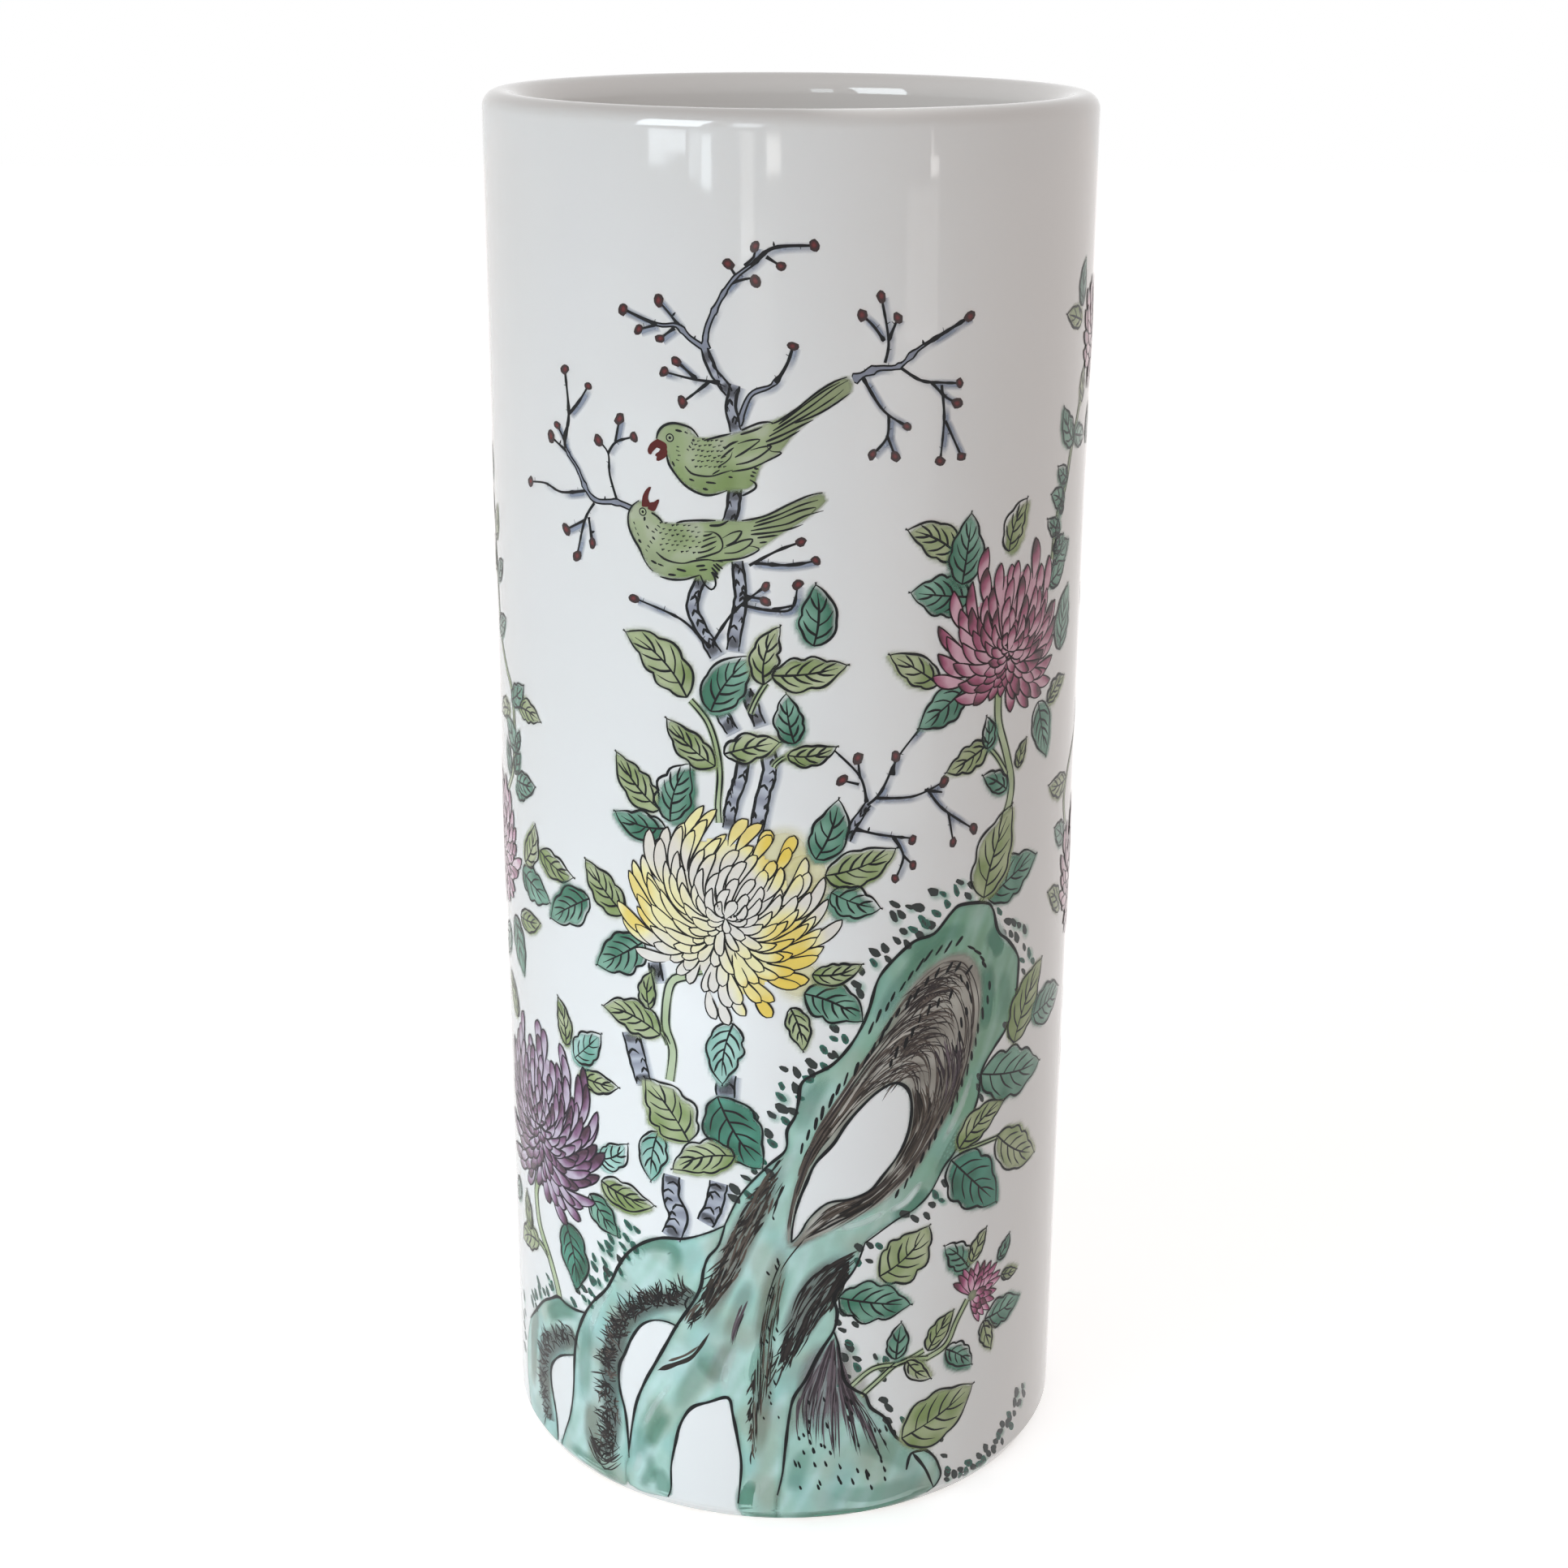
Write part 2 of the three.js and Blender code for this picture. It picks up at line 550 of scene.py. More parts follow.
# Leaves: a pointed outline with a wavy margin, a midrib and curved side veins, over a soft
# wash of colour that doesn't quite meet the outline.
leafLook = {
    # Fullness is half the leaf's width as a share of its length.
    "Y": {"pale": paint("B5BE98"), "deep": paint("7F9455"), "fullness": 0.235},
    "G": {"pale": paint("7DAB97"), "deep": paint("327259"), "fullness": 0.275},
    "T": {"pale": paint("A9CFC6"), "deep": paint("6BA695"), "fullness": 0.28},
    "D": {"pale": paint("44907A"), "deep": paint("155B43"), "fullness": 0.3},
    "line": 0.5,
    "veinLine": 0.42,
    "veinSpacing": 3.6,
    "lobes": (2.2, 3.8),
    "lobeDepth": (0.08, 0.3),
    "bend": 0.22,
    "lean": 1.6,         # how much darker one side may be
    "alpha": 0.96,
    "spread": 0.2,
    "soft": 1.3,
    "misfit": 0.95,
    "lift": 0.06,
    "liftStep": 0.012,   # leaves that cross lie at different heights
    "lineLift": 0.006,
}


def leaf(wash, lines, base, tip, kind, order, fullness=None):
    look = leafLook
    length = math.dist(base, tip)
    fullness = (fullness or look[kind]["fullness"]) * brush.uniform(0.92, 1.1)
    bend = brush.uniform(-look["bend"], look["bend"])
    along = ((tip[0] - base[0]) / length, (tip[1] - base[1]) / length)
    side = (-along[1], along[0])
    control = moved(moved(base, along, length * 0.5), side, bend * length)
    lobes = {sign: (brush.uniform(*look["lobes"]), brush.random(), brush.uniform(*look["lobeDepth"]))
             for sign in (-1, 1)}
    lift = look["lift"] + look["liftStep"] * (order % 6)

    def axis(t):
        return bent(base, control, tip, t)

    path = [axis(i / 40) for i in range(41)]

    def margin(t, sign):
        count, start, depth = lobes[sign]
        body = t ** 0.65 * (1 - t) ** 0.95 / 0.339
        scallop = 1 + depth * (abs(math.sin(math.pi * (count * t + start))) - 0.6)
        i = round(t * 40)
        return moved(path[i], sideways(path, i), sign * fullness * length * body * scallop)

    drift = (brush.uniform(-1, 1) * look["misfit"], brush.uniform(-1, 0.4) * look["misfit"])
    rim = [margin(i / 12, -1) for i in range(13)] + [margin(i / 12, 1) for i in range(11, 0, -1)]
    grain = brush.uniform(0, 50)
    lean = brush.uniform(-look["lean"], look["lean"])

    def washTint(s, z, depth):
        cloud = 0.5 + 0.8 * cloudy(s * 0.24, z * 0.24, grain)
        far = ((s - base[0]) * along[0] + (z - base[1]) * along[1]) / length
        slant = ((s - base[0]) * side[0] + (z - base[1]) * side[1]) / length
        tint = mixed(look[kind]["pale"], look[kind]["deep"], cloud + 0.35 * (0.5 - far) + lean * slant)
        return (*tint[:3], look["alpha"])

    rim = [moved(p, drift, 1.0) for p in rim]
    regionWash(wash, rim, [], lift, washTint, 0.7, look["soft"], look["spread"])

    lift += look["lineLift"]
    for sign in (-1, 1):
        edge = [margin(i / 20, sign) for i in range(21)]
        curl = moved(moved(tip, along, length * 0.02 + 0.3), side, sign * 0.15)
        stroke(lines, edge[:-1] + [tip, curl], look["line"], lift, startShare=0.6, endShare=0.4)
    stroke(lines, [axis(i / 8) for i in range(8)], look["veinLine"], lift, startShare=0.8, endShare=0.3)
    veins = max(2, min(4, round(length / look["veinSpacing"])))
    for i in range(veins):
        for sign in (-1, 1):
            begin = 0.12 + 0.62 * i / veins + (0.05 if sign > 0 else 0)
            end = min(0.92, begin + 0.24)
            reach = 0.8 + brush.uniform(-0.1, 0.06)
            centre = axis(end)
            target = between(centre, margin(end, sign), reach)
            middle = axis((begin + end) / 2 - 0.03)
            half = (middle[0] + (target[0] - centre[0]) * 0.6,
                    middle[1] + (target[1] - centre[1]) * 0.6)
            stroke(lines, [axis(begin), half, target], look["veinLine"], lift, startShare=0.8, endShare=0.2)


stemLook = {"pale": paint("B5C3A0"), "deep": paint("93A874"), "line": 0.36, "lift": 0.05, "lineLift": 0.058}


def stem(wash, lines, points, width):
    look = stemLook
    path = smoothPath(points, 1.0)
    ribbon(wash, path, lambda t: width * 0.9, look["lift"],
           lambda t: mixed(look["pale"], look["deep"], 0.5 + cloudy(t * 4, width, 3)), 0.6)
    for sign in (-1, 1):
        edge = [moved(p, sideways(path, i), sign * width / 2) for i, p in enumerate(path)]
        stroke(lines, edge[::2] + [edge[-1]], look["line"], look["lineLift"], spacing=1.0, startShare=0.7,
               endShare=0.6)


# Prunus: grey-blue boughs with ticks of bark, thin black twigs with a blue shadow, dark red buds.
boughLook = {
    "wood": paint("858A98"),
    "woodPale": paint("AEB3BF"),
    "shadow": paint("8491A8"),
    "shadowAlpha": 0.4,
    "shadowShift": (0.5, -0.35),
    "line": 0.55,
    "tickLine": 0.55,
    "tickSpacing": 1.4,
    "shadowLift": 0.015,
    "lift": 0.028,
    "endLift": 0.031,
    "lineLift": 0.04,
    "tickLift": 0.042,
}


def bough(wash, lines, points, startWidth, endWidth):
    look = boughLook
    path = smoothPath(points, 0.9)
    shadow = [moved(p, look["shadowShift"], 1.0) for p in path]

    def widthAt(t):
        return startWidth + (endWidth - startWidth) * t

    ribbon(wash, shadow, widthAt, look["shadowLift"],
           lambda t: (*look["shadow"][:3], look["shadowAlpha"]), 0.9)
    ribbon(wash, path, widthAt, look["lift"],
           lambda t: mixed(look["wood"], look["woodPale"], 0.5 + 1.2 * cloudy(t * 9, 1, 2)), 0.12)
    for end in (path[:4], path[-4:]):
        softStroke(wash, end[::3], startWidth * 0.7, look["endLift"], ink, 0.5, 0.7)
    for sign in (-1, 1):
        edge = []
        for i, place in enumerate(path):
            knot = 0.3 * cloudy(place[0] * 0.8, place[1] * 0.8, sign)
            half = widthAt(i / (len(path) - 1)) / 2 + knot
            edge.append(moved(place, sideways(path, i), sign * half))
        stroke(lines, edge, look["line"], look["lineLift"], startShare=0.6, endShare=0.6)
    travelled = 0.0
    for i in range(1, len(path) - 1):
        travelled += math.dist(path[i - 1], path[i])
        if travelled < look["tickSpacing"] * brush.uniform(0.6, 1.2):
            continue
        travelled = 0.0
        half = widthAt(i / len(path)) / 2
        sign = brush.choice((-1, 1))
        side = sideways(path, i)
        across = brush.uniform(0.5, 1.5) * half
        bark = [moved(path[i], side, sign * half), moved(path[i - 1], side, sign * (half - 0.5 * across)),
                moved(path[i], side, sign * (half - across))]
        stroke(lines, bark, look["tickLine"], look["tickLift"], startShare=1)


# A thick twig shows grey wood between two black edges, and thins out to one black line.
twigLook = {
    "shadowWidth": 0.55, "shadowAlpha": 0.7, "woodFrom": 0.95, "edges": 0.68, "spurLine": 0.42,
    "spurSpacing": 6, "lift": 0.034, "spurLift": 0.036, "woodLift": 0.04,
    # Widths at both ends of a main twig, which has more than four points, and of a side twig.
    "main": (1.6, 0.5), "side": (0.7, 0.4),
}


def twig(wash, lines, points):
    look, wood = twigLook, boughLook
    startWidth, endWidth = look["main"] if len(points) > 4 else look["side"]
    path = smoothPath(points, 0.7)
    grain = brush.uniform(0, 50)
    shadow = [moved(p, wood["shadowShift"], 1.0) for p in path]

    def shade(t):
        patch = cloudy(t * len(path) * 0.12, grain, 0)
        return (*wood["shadow"][:3], look["shadowAlpha"] * smoothStep(-0.35, 0.3, patch) * min(1.0, 8 * t))

    def widthAt(t):
        knot = max(0.0, cloudy(t * len(path) * 0.4, grain, 5))
        return (startWidth + (endWidth - startWidth) * t) * (0.85 + 1.1 * knot)

    ribbon(wash, shadow, lambda t: look["shadowWidth"], wood["shadowLift"], shade, 0.8)
    ribbon(lines, path, widthAt, look["lift"], lambda t: ink)
    thick = [p for i, p in enumerate(path)
             if startWidth + (endWidth - startWidth) * i / len(path) > look["woodFrom"]]
    if len(thick) > 2:
        share = len(thick) / len(path)
        ribbon(lines, thick, lambda t: max(0.08, widthAt(t * share) - look["edges"]), look["woodLift"],
               lambda t: wood["wood"])
    for i in range(4, len(path) - 2, look["spurSpacing"]):
        side = sideways(path, i)
        spur = moved(path[i], side, brush.choice((-1, 1)) * brush.uniform(0.5, 0.9))
        stroke(lines, [path[i], moved(spur, (0.1, 0.25), 1.0)], look["spurLine"], look["spurLift"])


budLook = {"red": paint("74161B"), "deep": paint("2A0709"), "size": 1.08, "lift": 0.05, "redLift": 0.056}


def bud(sheet, centre):
    look = budLook
    size = look["size"] * brush.uniform(0.85, 1.15)
    turn = brush.uniform(0, 3.1)
    disc(sheet, centre, (size * 1.1, size * 0.85), turn, look["lift"], look["deep"], sides=10, rough=0.14)
    inner = moved(centre, facing(turn), 0.1)
    disc(sheet, inner, (size * 0.72, size * 0.55), turn, look["redLift"], look["red"], look["deep"], sides=9,
         rough=0.1)


# Chrysanthemums: slender petals that spring from one point and bend upwards like a fountain,
# each over the ones outside it. A petal's mood makes its tip darker or paler than others.
petalLook = {
    "rowLength": 0.8,
    "mood": 0.22,
    "turn": 137.5,       # each petal stands this many degrees on from the one before, from the rim inwards
    "budWidth": 2.3,
    "heartReach": 0.64,  # the wash under the petals, as a share of the flower's reach
    "heartLift": 0.13,
    "lift": 0.14,
    "rise": 0.14,        # how much higher the innermost petal lies than the outermost
    "budLift": 0.29,
    "lineLift": 0.003,
}


def petal(fills, lines, base, control, tip, width, lift, look):
    rows = max(7, round(math.dist(base, tip) / petalLook["rowLength"]))
    peak = (1.2 - 0.1 * look["point"]) / (1.2 + look["point"])
    mood = brush.uniform(-petalLook["mood"], petalLook["mood"])
    path = [bent(base, control, tip, i / rows) for i in range(rows + 1)]

    def body(t):
        return (t + 0.1) ** 1.2 * max(0.0, 1 - t) ** look["point"]

    def half(t):
        return width * 0.5 * body(t) / body(peak)

    previous = None
    for i, place in enumerate(path):
        t = i / rows
        side = sideways(path, i)
        row = []
        for across in (-1, -0.5, 0, 0.5, 1):
            spot = moved(place, side, across * half(t))
            row.append(addPoint(fills, spot, lift, look["tintAt"](t, across, spot, mood)))
        if previous:
            for k in range(4):
                addFace(fills, [previous[k], previous[k + 1], row[k + 1], row[k]])
        previous = row
    for sign in (-1, 1):
        edge = [moved(p, sideways(path, i), sign * half(i / rows)) for i, p in enumerate(path)]
        if brush.random() < look["broken"]:
            edge = edge[rows // 3:]
        stroke(lines, edge, look["line"], lift + petalLook["lineLift"], look["lineTint"], startShare=0.4,
               endShare=0.85)


# How far a flower reaches in a direction. Its edge is a list of directions in degrees and reaches.
def edgeReach(edge, degrees, period=None):
    angles, reaches = zip(*edge)
    return float(np.interp(degrees, angles, reaches, period=period))


def chrysanthemum(fills, lines, look):
    focus, edge, shared = look["focus"], look["edge"], petalLook
    heart = [moved(focus, towards(degrees), shared["heartReach"] * edgeReach(edge, degrees, 360))
             for degrees in range(0, 360, 20)]
    regionWash(fills, heart, [], shared["heartLift"],
               lambda s, z, depth: look["tintAt"](0.5, 0, (s, z), 0), 0.7)
    for i in range(look["petals"]):
        inward = i / look["petals"]
        share = (1 - inward) ** look["crowding"]
        degrees = shared["turn"] * i + brush.uniform(-5, 5)
        reach = share * edgeReach(edge, degrees, 360) * brush.uniform(0.94, 1.08)
        tip = moved(moved(focus, look["heart"], 1 - share), towards(degrees), reach)
        # The petal is the outer end of a line that leaves the focus low and swings up to the tip.
        far = math.dist(tip, focus)
        upward = 0.3 + 0.7 * smoothStep(-1.0, -0.25, math.sin(math.radians(degrees)))
        sideShare = max(-1.0, min(1.0, 1.5 * math.sin(math.radians(degrees - look["divide"]))))
        swing = look["swing"] * upward * sideShare
        radial = math.degrees(math.atan2(tip[1] - focus[1], tip[0] - focus[0]))
        knee = moved(focus, towards(radial + swing + brush.uniform(-9, 9)), look["knee"] * far)
        hidden = max(0.0, 1 - look["petalLength"] * brush.uniform(0.85, 1.1) / far)
        width = look["petalWidth"] * (0.62 + 0.38 * share) * brush.uniform(0.85, 1.12)
        petal(fills, lines, bent(focus, knee, tip, hidden), between(knee, tip, hidden), tip, width,
              shared["lift"] + shared["rise"] * inward, look)
    bud = look["bud"]
    petal(fills, lines, focus, moved(focus, bud, 0.5), moved(focus, bud, 1.0), shared["budWidth"],
          shared["budLift"], look)


# A petal's colour from its foot to its tip.
def shaded(base, middle, deep):
    def tintAt(t, across, spot, mood):
        depth = t + 0.16 * across + mood + 0.2 * cloudy(spot[0] * 0.5, spot[1] * 0.5, 4)
        if depth < 0.8:
            return mixed(base, middle, smoothStep(0.42, 0.8, depth))
        return mixed(middle, deep, (depth - 0.8) / 0.2)
    return tintAt


# Yellow washed over the cream petals: place, reach and depth of each pool of colour.
yellowPools = [
    ((-31, 139), 6.5, 0.75), ((-30.5, 133.5), 4.5, 0.85), ((-24, 137), 7, 0.45), ((-19, 131.5), 6, 0.35),
    ((-15, 154), 6.5, 0.6), ((-9.4, 155), 5.5, 0.75), ((-6, 153), 5, 0.8), ((-1.5, 151), 6, 1.0),
    ((-2.7, 147.6), 4, 0.8), ((0, 145.5), 4.5, 0.55), ((0.5, 132), 6, 0.9), ((2, 127), 6, 1.0),
    ((1, 121.5), 6.5, 1.0), ((-3.5, 117), 5.5, 1.0), ((-7, 125.5), 6, 0.45), ((-5, 121), 5, 0.8),
]
yellowPaint = {
    "cream": paint("DDD8D0"), "peach": paint("D8CCB8"), "pale": paint("E9E1A4"), "deep": paint("E4C650"),
    "run": paint("E9E1A4", 0.5), "runSoft": 3.4, "runLift": 0.03, "runStep": 0.005,
}


def creamAndYellow(t, across, spot, mood):
    glow = 0.0
    for place, reach, depth in yellowPools:
        glow = max(glow, depth * (1 - smoothStep(reach * 0.4, reach * 1.35, math.dist(place, spot))))
    glow += 0.3 * mood * glow
    cream = mixed(yellowPaint["cream"], yellowPaint["peach"], smoothStep(140, 156, spot[1]) * (0.6 + mood))
    if glow < 0.5:
        return mixed(cream, yellowPaint["pale"], 2 * glow)
    return mixed(yellowPaint["pale"], yellowPaint["deep"], 2 * glow - 1)


magentaTint = shaded(paint("D2A6B6"), paint("9C4468"), paint("45061C"))
# What the pink flowers at both sides have in common.
pink = {
    "heart": (0, 1.5), "bud": (0.3, 4.5), "petals": 90, "crowding": 0.6, "petalWidth": 2.7, "petalLength": 9,
    "point": 0.75, "swing": 32, "knee": 0.7, "divide": 90, "broken": 0.1,
    "edge": [(0, 16), (90, 17), (180, 17), (270, 15)],
    "tintAt": magentaTint, "lineTint": paint("1E060D"), "line": 0.34,
}
flowers = {
    "yellow": {
        "focus": (-11.7, 135.8), "heart": (1.5, 2.6), "bud": (1.8, 3.7), "petals": 135, "crowding": 0.58,
        "petalWidth": 2.6, "petalLength": 9.5, "point": 0.65, "swing": 48, "knee": 0.76, "divide": 58,
        "edge": [(0, 22), (30, 20), (45, 20.5), (60, 22), (75, 22.5), (90, 23), (105, 24), (120, 23.5),
                 (150, 22.5), (170, 24), (195, 23), (210, 20), (228, 19), (240, 16), (255, 20.5), (270, 24),
                 (285, 24), (300, 22.5), (330, 21)],
        "broken": 0.3, "tintAt": creamAndYellow, "lineTint": paint("17130F"), "line": 0.34,
    },
    "magenta": {
        "focus": (46.6, 184.9), "heart": (0.6, 2.2), "bud": (1.5, 4.6), "petals": 105, "crowding": 0.6,
        "petalWidth": 2.7, "petalLength": 9.5, "point": 0.85, "swing": 32, "knee": 0.7, "divide": 82,
        "edge": [(0, 17), (26, 19.7), (40, 17.5), (55, 20.5), (66, 25), (76, 23), (88, 19.5), (97, 21.5),
                 (111, 21), (122, 19), (145, 18.5), (171, 19.6), (185, 18.8), (201, 16.5), (217, 14.6),
                 (234, 13.5), (252, 9), (270, 11), (288, 14.6), (306, 16), (318, 18.3), (344, 18.2)],
        "broken": 0.1, "tintAt": magentaTint, "lineTint": paint("1E060D"), "line": 0.36,
    },
    "purple": {
        "focus": (-61.3, 78.4), "heart": (0, 2.0), "bud": (0.3, 5.0), "petals": 150, "crowding": 0.6,
        "petalWidth": 2.6, "petalLength": 10, "point": 0.62, "swing": 46, "knee": 0.74, "divide": 92,
        "edge": [(3, 22.3), (22, 23.8), (34, 23.2), (52, 24.6), (64, 22.8), (80, 24.8), (102, 24),
                 (113, 23.5), (130, 21.5), (160, 19), (200, 21), (220, 23.5), (246, 19), (258, 15.5),
                 (272, 15), (287, 21.5), (303, 23.5), (323, 23.5), (342, 22)],
        "tintAt": shaded(paint("BDB0C2"), paint("7E5378"), paint("3B0F2B")),
        "broken": 0.1, "lineTint": paint("1D1220"), "line": 0.42,
    },
    "leftPink": {
        **pink, "focus": (-84, 135), "tintAt": shaded(paint("E2CAD6"), paint("B87F9C"), paint("6E2A4B")),
    },
    "rightPink": {**pink, "focus": (89, 128)},
    "topPink": {
        **pink, "focus": (86, 241), "heart": (0, 1), "bud": (0.3, 3.6), "petals": 60, "petalWidth": 2.6,
        "petalLength": 8, "swing": 26, "edge": [(0, 12), (90, 13), (180, 13), (270, 12)],
    },
}

for name, look in flowers.items():
    fills, lines = newSheet(), newSheet()
    chrysanthemum(fills, lines, look)
    layPiece(fills, f"chrysanthemum_{name}_petals", petalEnamel)
    layPiece(lines, f"chrysanthemum_{name}_lines", lineEnamel)

# Yellow that ran out past the petals: place and reach.
yellowRuns = [((-0.5, 149.5), 5), ((3.5, 145), 5), ((4.5, 139), 4.5), ((2.5, 123.5), 4.5)]
wash = newSheet()
for order, (place, reach) in enumerate(yellowRuns):
    lift = yellowPaint["runLift"] + yellowPaint["runStep"] * order
    regionWash(wash, arcPoints(*place, reach, 0, 330, 11), [], lift,
               lambda s, z, depth: yellowPaint["run"], 0.8, yellowPaint["runSoft"])
layPiece(wash, "chrysanthemum_yellow_wash", washEnamel)

# A small flower seen from the side.
halfFlowerLook = {
    "tintAt": shaded(paint("D9A9C0"), paint("A84377"), paint("5C0F30")), "lineTint": paint("2A0714"),
    "line": 0.3, "point": 0.8, "broken": 0.2, "petalWidth": 1.7, "base": (42.3, 46.6), "lift": 0.14,
    "edge": [(-75, 7.6), (-45, 7.2), (-20, 7.8), (0, 8.4), (20, 9.8), (40, 9.3), (65, 8), (90, 6.6),
             (110, 7.2), (138, 7.4)],
    "rounds": [(1.0, 15), (0.74, 10), (0.48, 6)],  # a share of the reach and a number of petals for each
    "disc": paint("8E9474"), "discEdge": paint("6C7358"), "discSize": (1.3, 1.1), "discLift": 0.21,
}


def halfFlower(fills, lines):
    look = halfFlowerLook
    base = look["base"]
    for k, (share, count) in enumerate(look["rounds"]):
        for i in range(count):
            degrees = -72 + (210 - 40 * k) * i / (count - 1) + brush.uniform(-4, 4)
            reach = share * edgeReach(look["edge"], degrees) * brush.uniform(0.9, 1.08)
            knee, tip = moved(base, towards(degrees - 6), reach / 2), moved(base, towards(degrees), reach)
            lift = look["lift"] + 0.02 * k + 0.009 * (i % 2)
            petal(fills, lines, base, knee, tip, look["petalWidth"], lift, look)
    disc(fills, base, look["discSize"], 0.6, look["discLift"], look["disc"], look["discEdge"], rough=0.1)


fills, lines = newSheet(), newSheet()
halfFlower(fills, lines)
layPiece(fills, "small_flower_petals", petalEnamel)
layPiece(lines, "small_flower_lines", lineEnamel)
print("flowers painted")

leaves = [
    (-19.2, 179.3, -32, 190.5, "Y"), (-14.5, 177, -6.5, 188, "G"), (-4.5, 182.7, -1.5, 193.8, "Y"),
    (-3, 184.5, 11, 186.3, "Y"), (4.7, 190.2, 5, 201.8, "G"), (-13.7, 166.3, -23.3, 174.7, "Y"),
    (-12, 168.8, -1.5, 171.5, "Y"), (1.3, 171.3, -0.3, 181, "G"), (0, 169, 9.2, 170.5, "Y"),
    (-25, 156.3, -34.5, 166.3, "Y"), (-22.8, 154.3, -18.7, 166.3, "G"), (-23.7, 152.7, -35, 154.3, "G"),
    (5.5, 148.2, 9.7, 160, "G"), (7.3, 144.8, 21.2, 149.2, "Y"), (8.5, 141.3, 18.3, 137.3, "G"),
    (-33.3, 133.3, -43, 142.5, "Y"), (-42.2, 134.5, -54.5, 126.8, "G"), (-28.8, 128.5, -40.3, 121, "G"),
    (-25.5, 109.3, -39, 112.4, "Y"), (-27.8, 114.3, -27.3, 122.3, "Y"), (-10.3, 113.8, -12.5, 100.7, "T"),
    (-13.5, 97.8, -4.5, 82.8, "D"), (-19.5, 87.2, -29, 99.2, "Y"), (-10, 85.2, -23, 80.5, "Y"),
    (-26.2, 88, -28, 76.8, "T"), (3.5, 120.5, 15, 114, "G"), (5, 124.5, 14.7, 126, "Y"),
    (0.8, 117.5, 3.3, 108.5, "Y"),
    (33.5, 205, 22.3, 211.2, "Y"), (34.2, 199.7, 36, 213, "G"), (36, 197, 23.2, 199.3, "G"),
    (46, 204.3, 51, 213.7, "Y"), (29.5, 180.9, 19.3, 187.7, "Y"), (35.5, 179.3, 25.5, 172.8, "G"),
    (66.5, 180.5, 69.8, 193, "G"), (61.3, 171, 69.7, 174.4, "Y"), (57.5, 172, 61.5, 160, "G"),
    (42, 167, 31.8, 163, "Y"), (41.5, 166, 41.3, 172.5, "G"), (51, 160, 53.5, 165.5, "Y"),
    (47.5, 156.5, 40.8, 160.7, "G"), (42, 135.2, 49.5, 152.7, "Y"), (43.5, 134.3, 59, 139.7, "G"),
    (74.7, 151.3, 63.8, 152.9, "Y"), (75.2, 138, 68, 142.5, "G"), (73.7, 122.5, 65.5, 129.3, "Y"),
    (53, 100.5, 63.5, 115.5, "Y"), (60.5, 104, 76, 104.5, "G"), (43, 96.8, 64.3, 92.3, "G"),
    (37.5, 81.8, 50.3, 88.5, "Y"), (48.5, 81.2, 63.5, 71.5, "Y"), (35.5, 79.8, 48.7, 66, "D"),
    (19.5, 57.2, 30.5, 66.3, "Y"), (11, 53.5, 26.5, 49.3, "G"),
    (41, 53.5, 34.5, 60.5, "G"), (42, 54.5, 46, 61, "Y"), (50, 52, 54, 56.5, "G"),
    (51.5, 47.8, 57.4, 46.5, "Y"), (46.5, 39.3, 58.7, 39.5, "G"), (46, 39, 48.6, 31.5, "Y"),
    (31, 37.2, 37.2, 44.7, "Y"), (23.5, 37.2, 24.5, 45.5, "G"), (26, 36.2, 31.8, 30.5, "Y"),
    (35.5, 36.2, 42.8, 30, "G"), (25.2, 18, 43.3, 25, "Y"),
    (69.6, 221.4, 63.9, 229.1, "G"), (70.4, 222.9, 78.6, 221.4, "G"), (75, 228.4, 76, 235.4, "Y"),
    (72.1, 244.6, 63.6, 246.8, "Y"), (72.5, 247.4, 73.5, 256, "G"), (82, 219, 86, 227, "G"),
    (-70.5, 168.5, -63.5, 173.2, "G"), (-66.5, 168, -56.6, 167.5, "Y"), (-72.5, 165.5, -80.8, 163, "Y"),
    (-69, 157.5, -75.5, 163.5, "G"), (-68.8, 158.5, -66.5, 162.8, "G"), (-70, 153, -66.5, 158, "G"),
    (-68.5, 152, -59.5, 153.2, "G"), (-69.5, 150.5, -63.8, 150, "G"), (-73, 152, -75.5, 159, "G"),
    (-79, 191, -74.5, 196, "G"), (-80.5, 180.5, -73.5, 184.5, "G"), (-82.5, 199, -79, 206.5, "Y"),
    (-65, 135.5, -60, 145, "Y"), (-58, 140.2, -46.7, 137.7, "Y"), (-67, 133, -54.8, 130, "G"),
    (-69, 122.2, -59, 124.2, "Y"), (-73.3, 121, -67.8, 109.8, "G"),
    (-50.3, 100.4, -52.8, 110.2, "Y"), (-47.5, 98.5, -39.8, 106, "T"), (-45.8, 95, -35.5, 95.5, "Y"),
    (-41, 78, -33.5, 83.5, "T"), (-40.5, 73.2, -27.3, 71.3, "Y"), (-43.9, 69, -36.4, 61.8, "G"),
    (-52, 59.3, -48.8, 44.7, "D"), (-68.5, 50, -70.5, 58.5, "Y"), (-64, 49, -75, 44.5, "Y"),
    (-76, 58, -80, 52, "G"), (-73, 98, -80, 106, "Y"), (-78, 116, -84, 108, "G"),
]
# Leaves with a fullness of their own, by the place of their base.
bigLeaves = {
    (25.2, 18): 0.32, (42, 135.2): 0.24, (-13.5, 97.8): 0.33, (-19.5, 87.2): 0.33, (19.5, 57.2): 0.36,
}

wash, lines = newSheet(), newSheet()
for order, (baseS, baseZ, tipS, tipZ, kind) in enumerate(leaves):
    leaf(wash, lines, (baseS, baseZ), (tipS, tipZ), kind, order, bigLeaves.get((baseS, baseZ)))

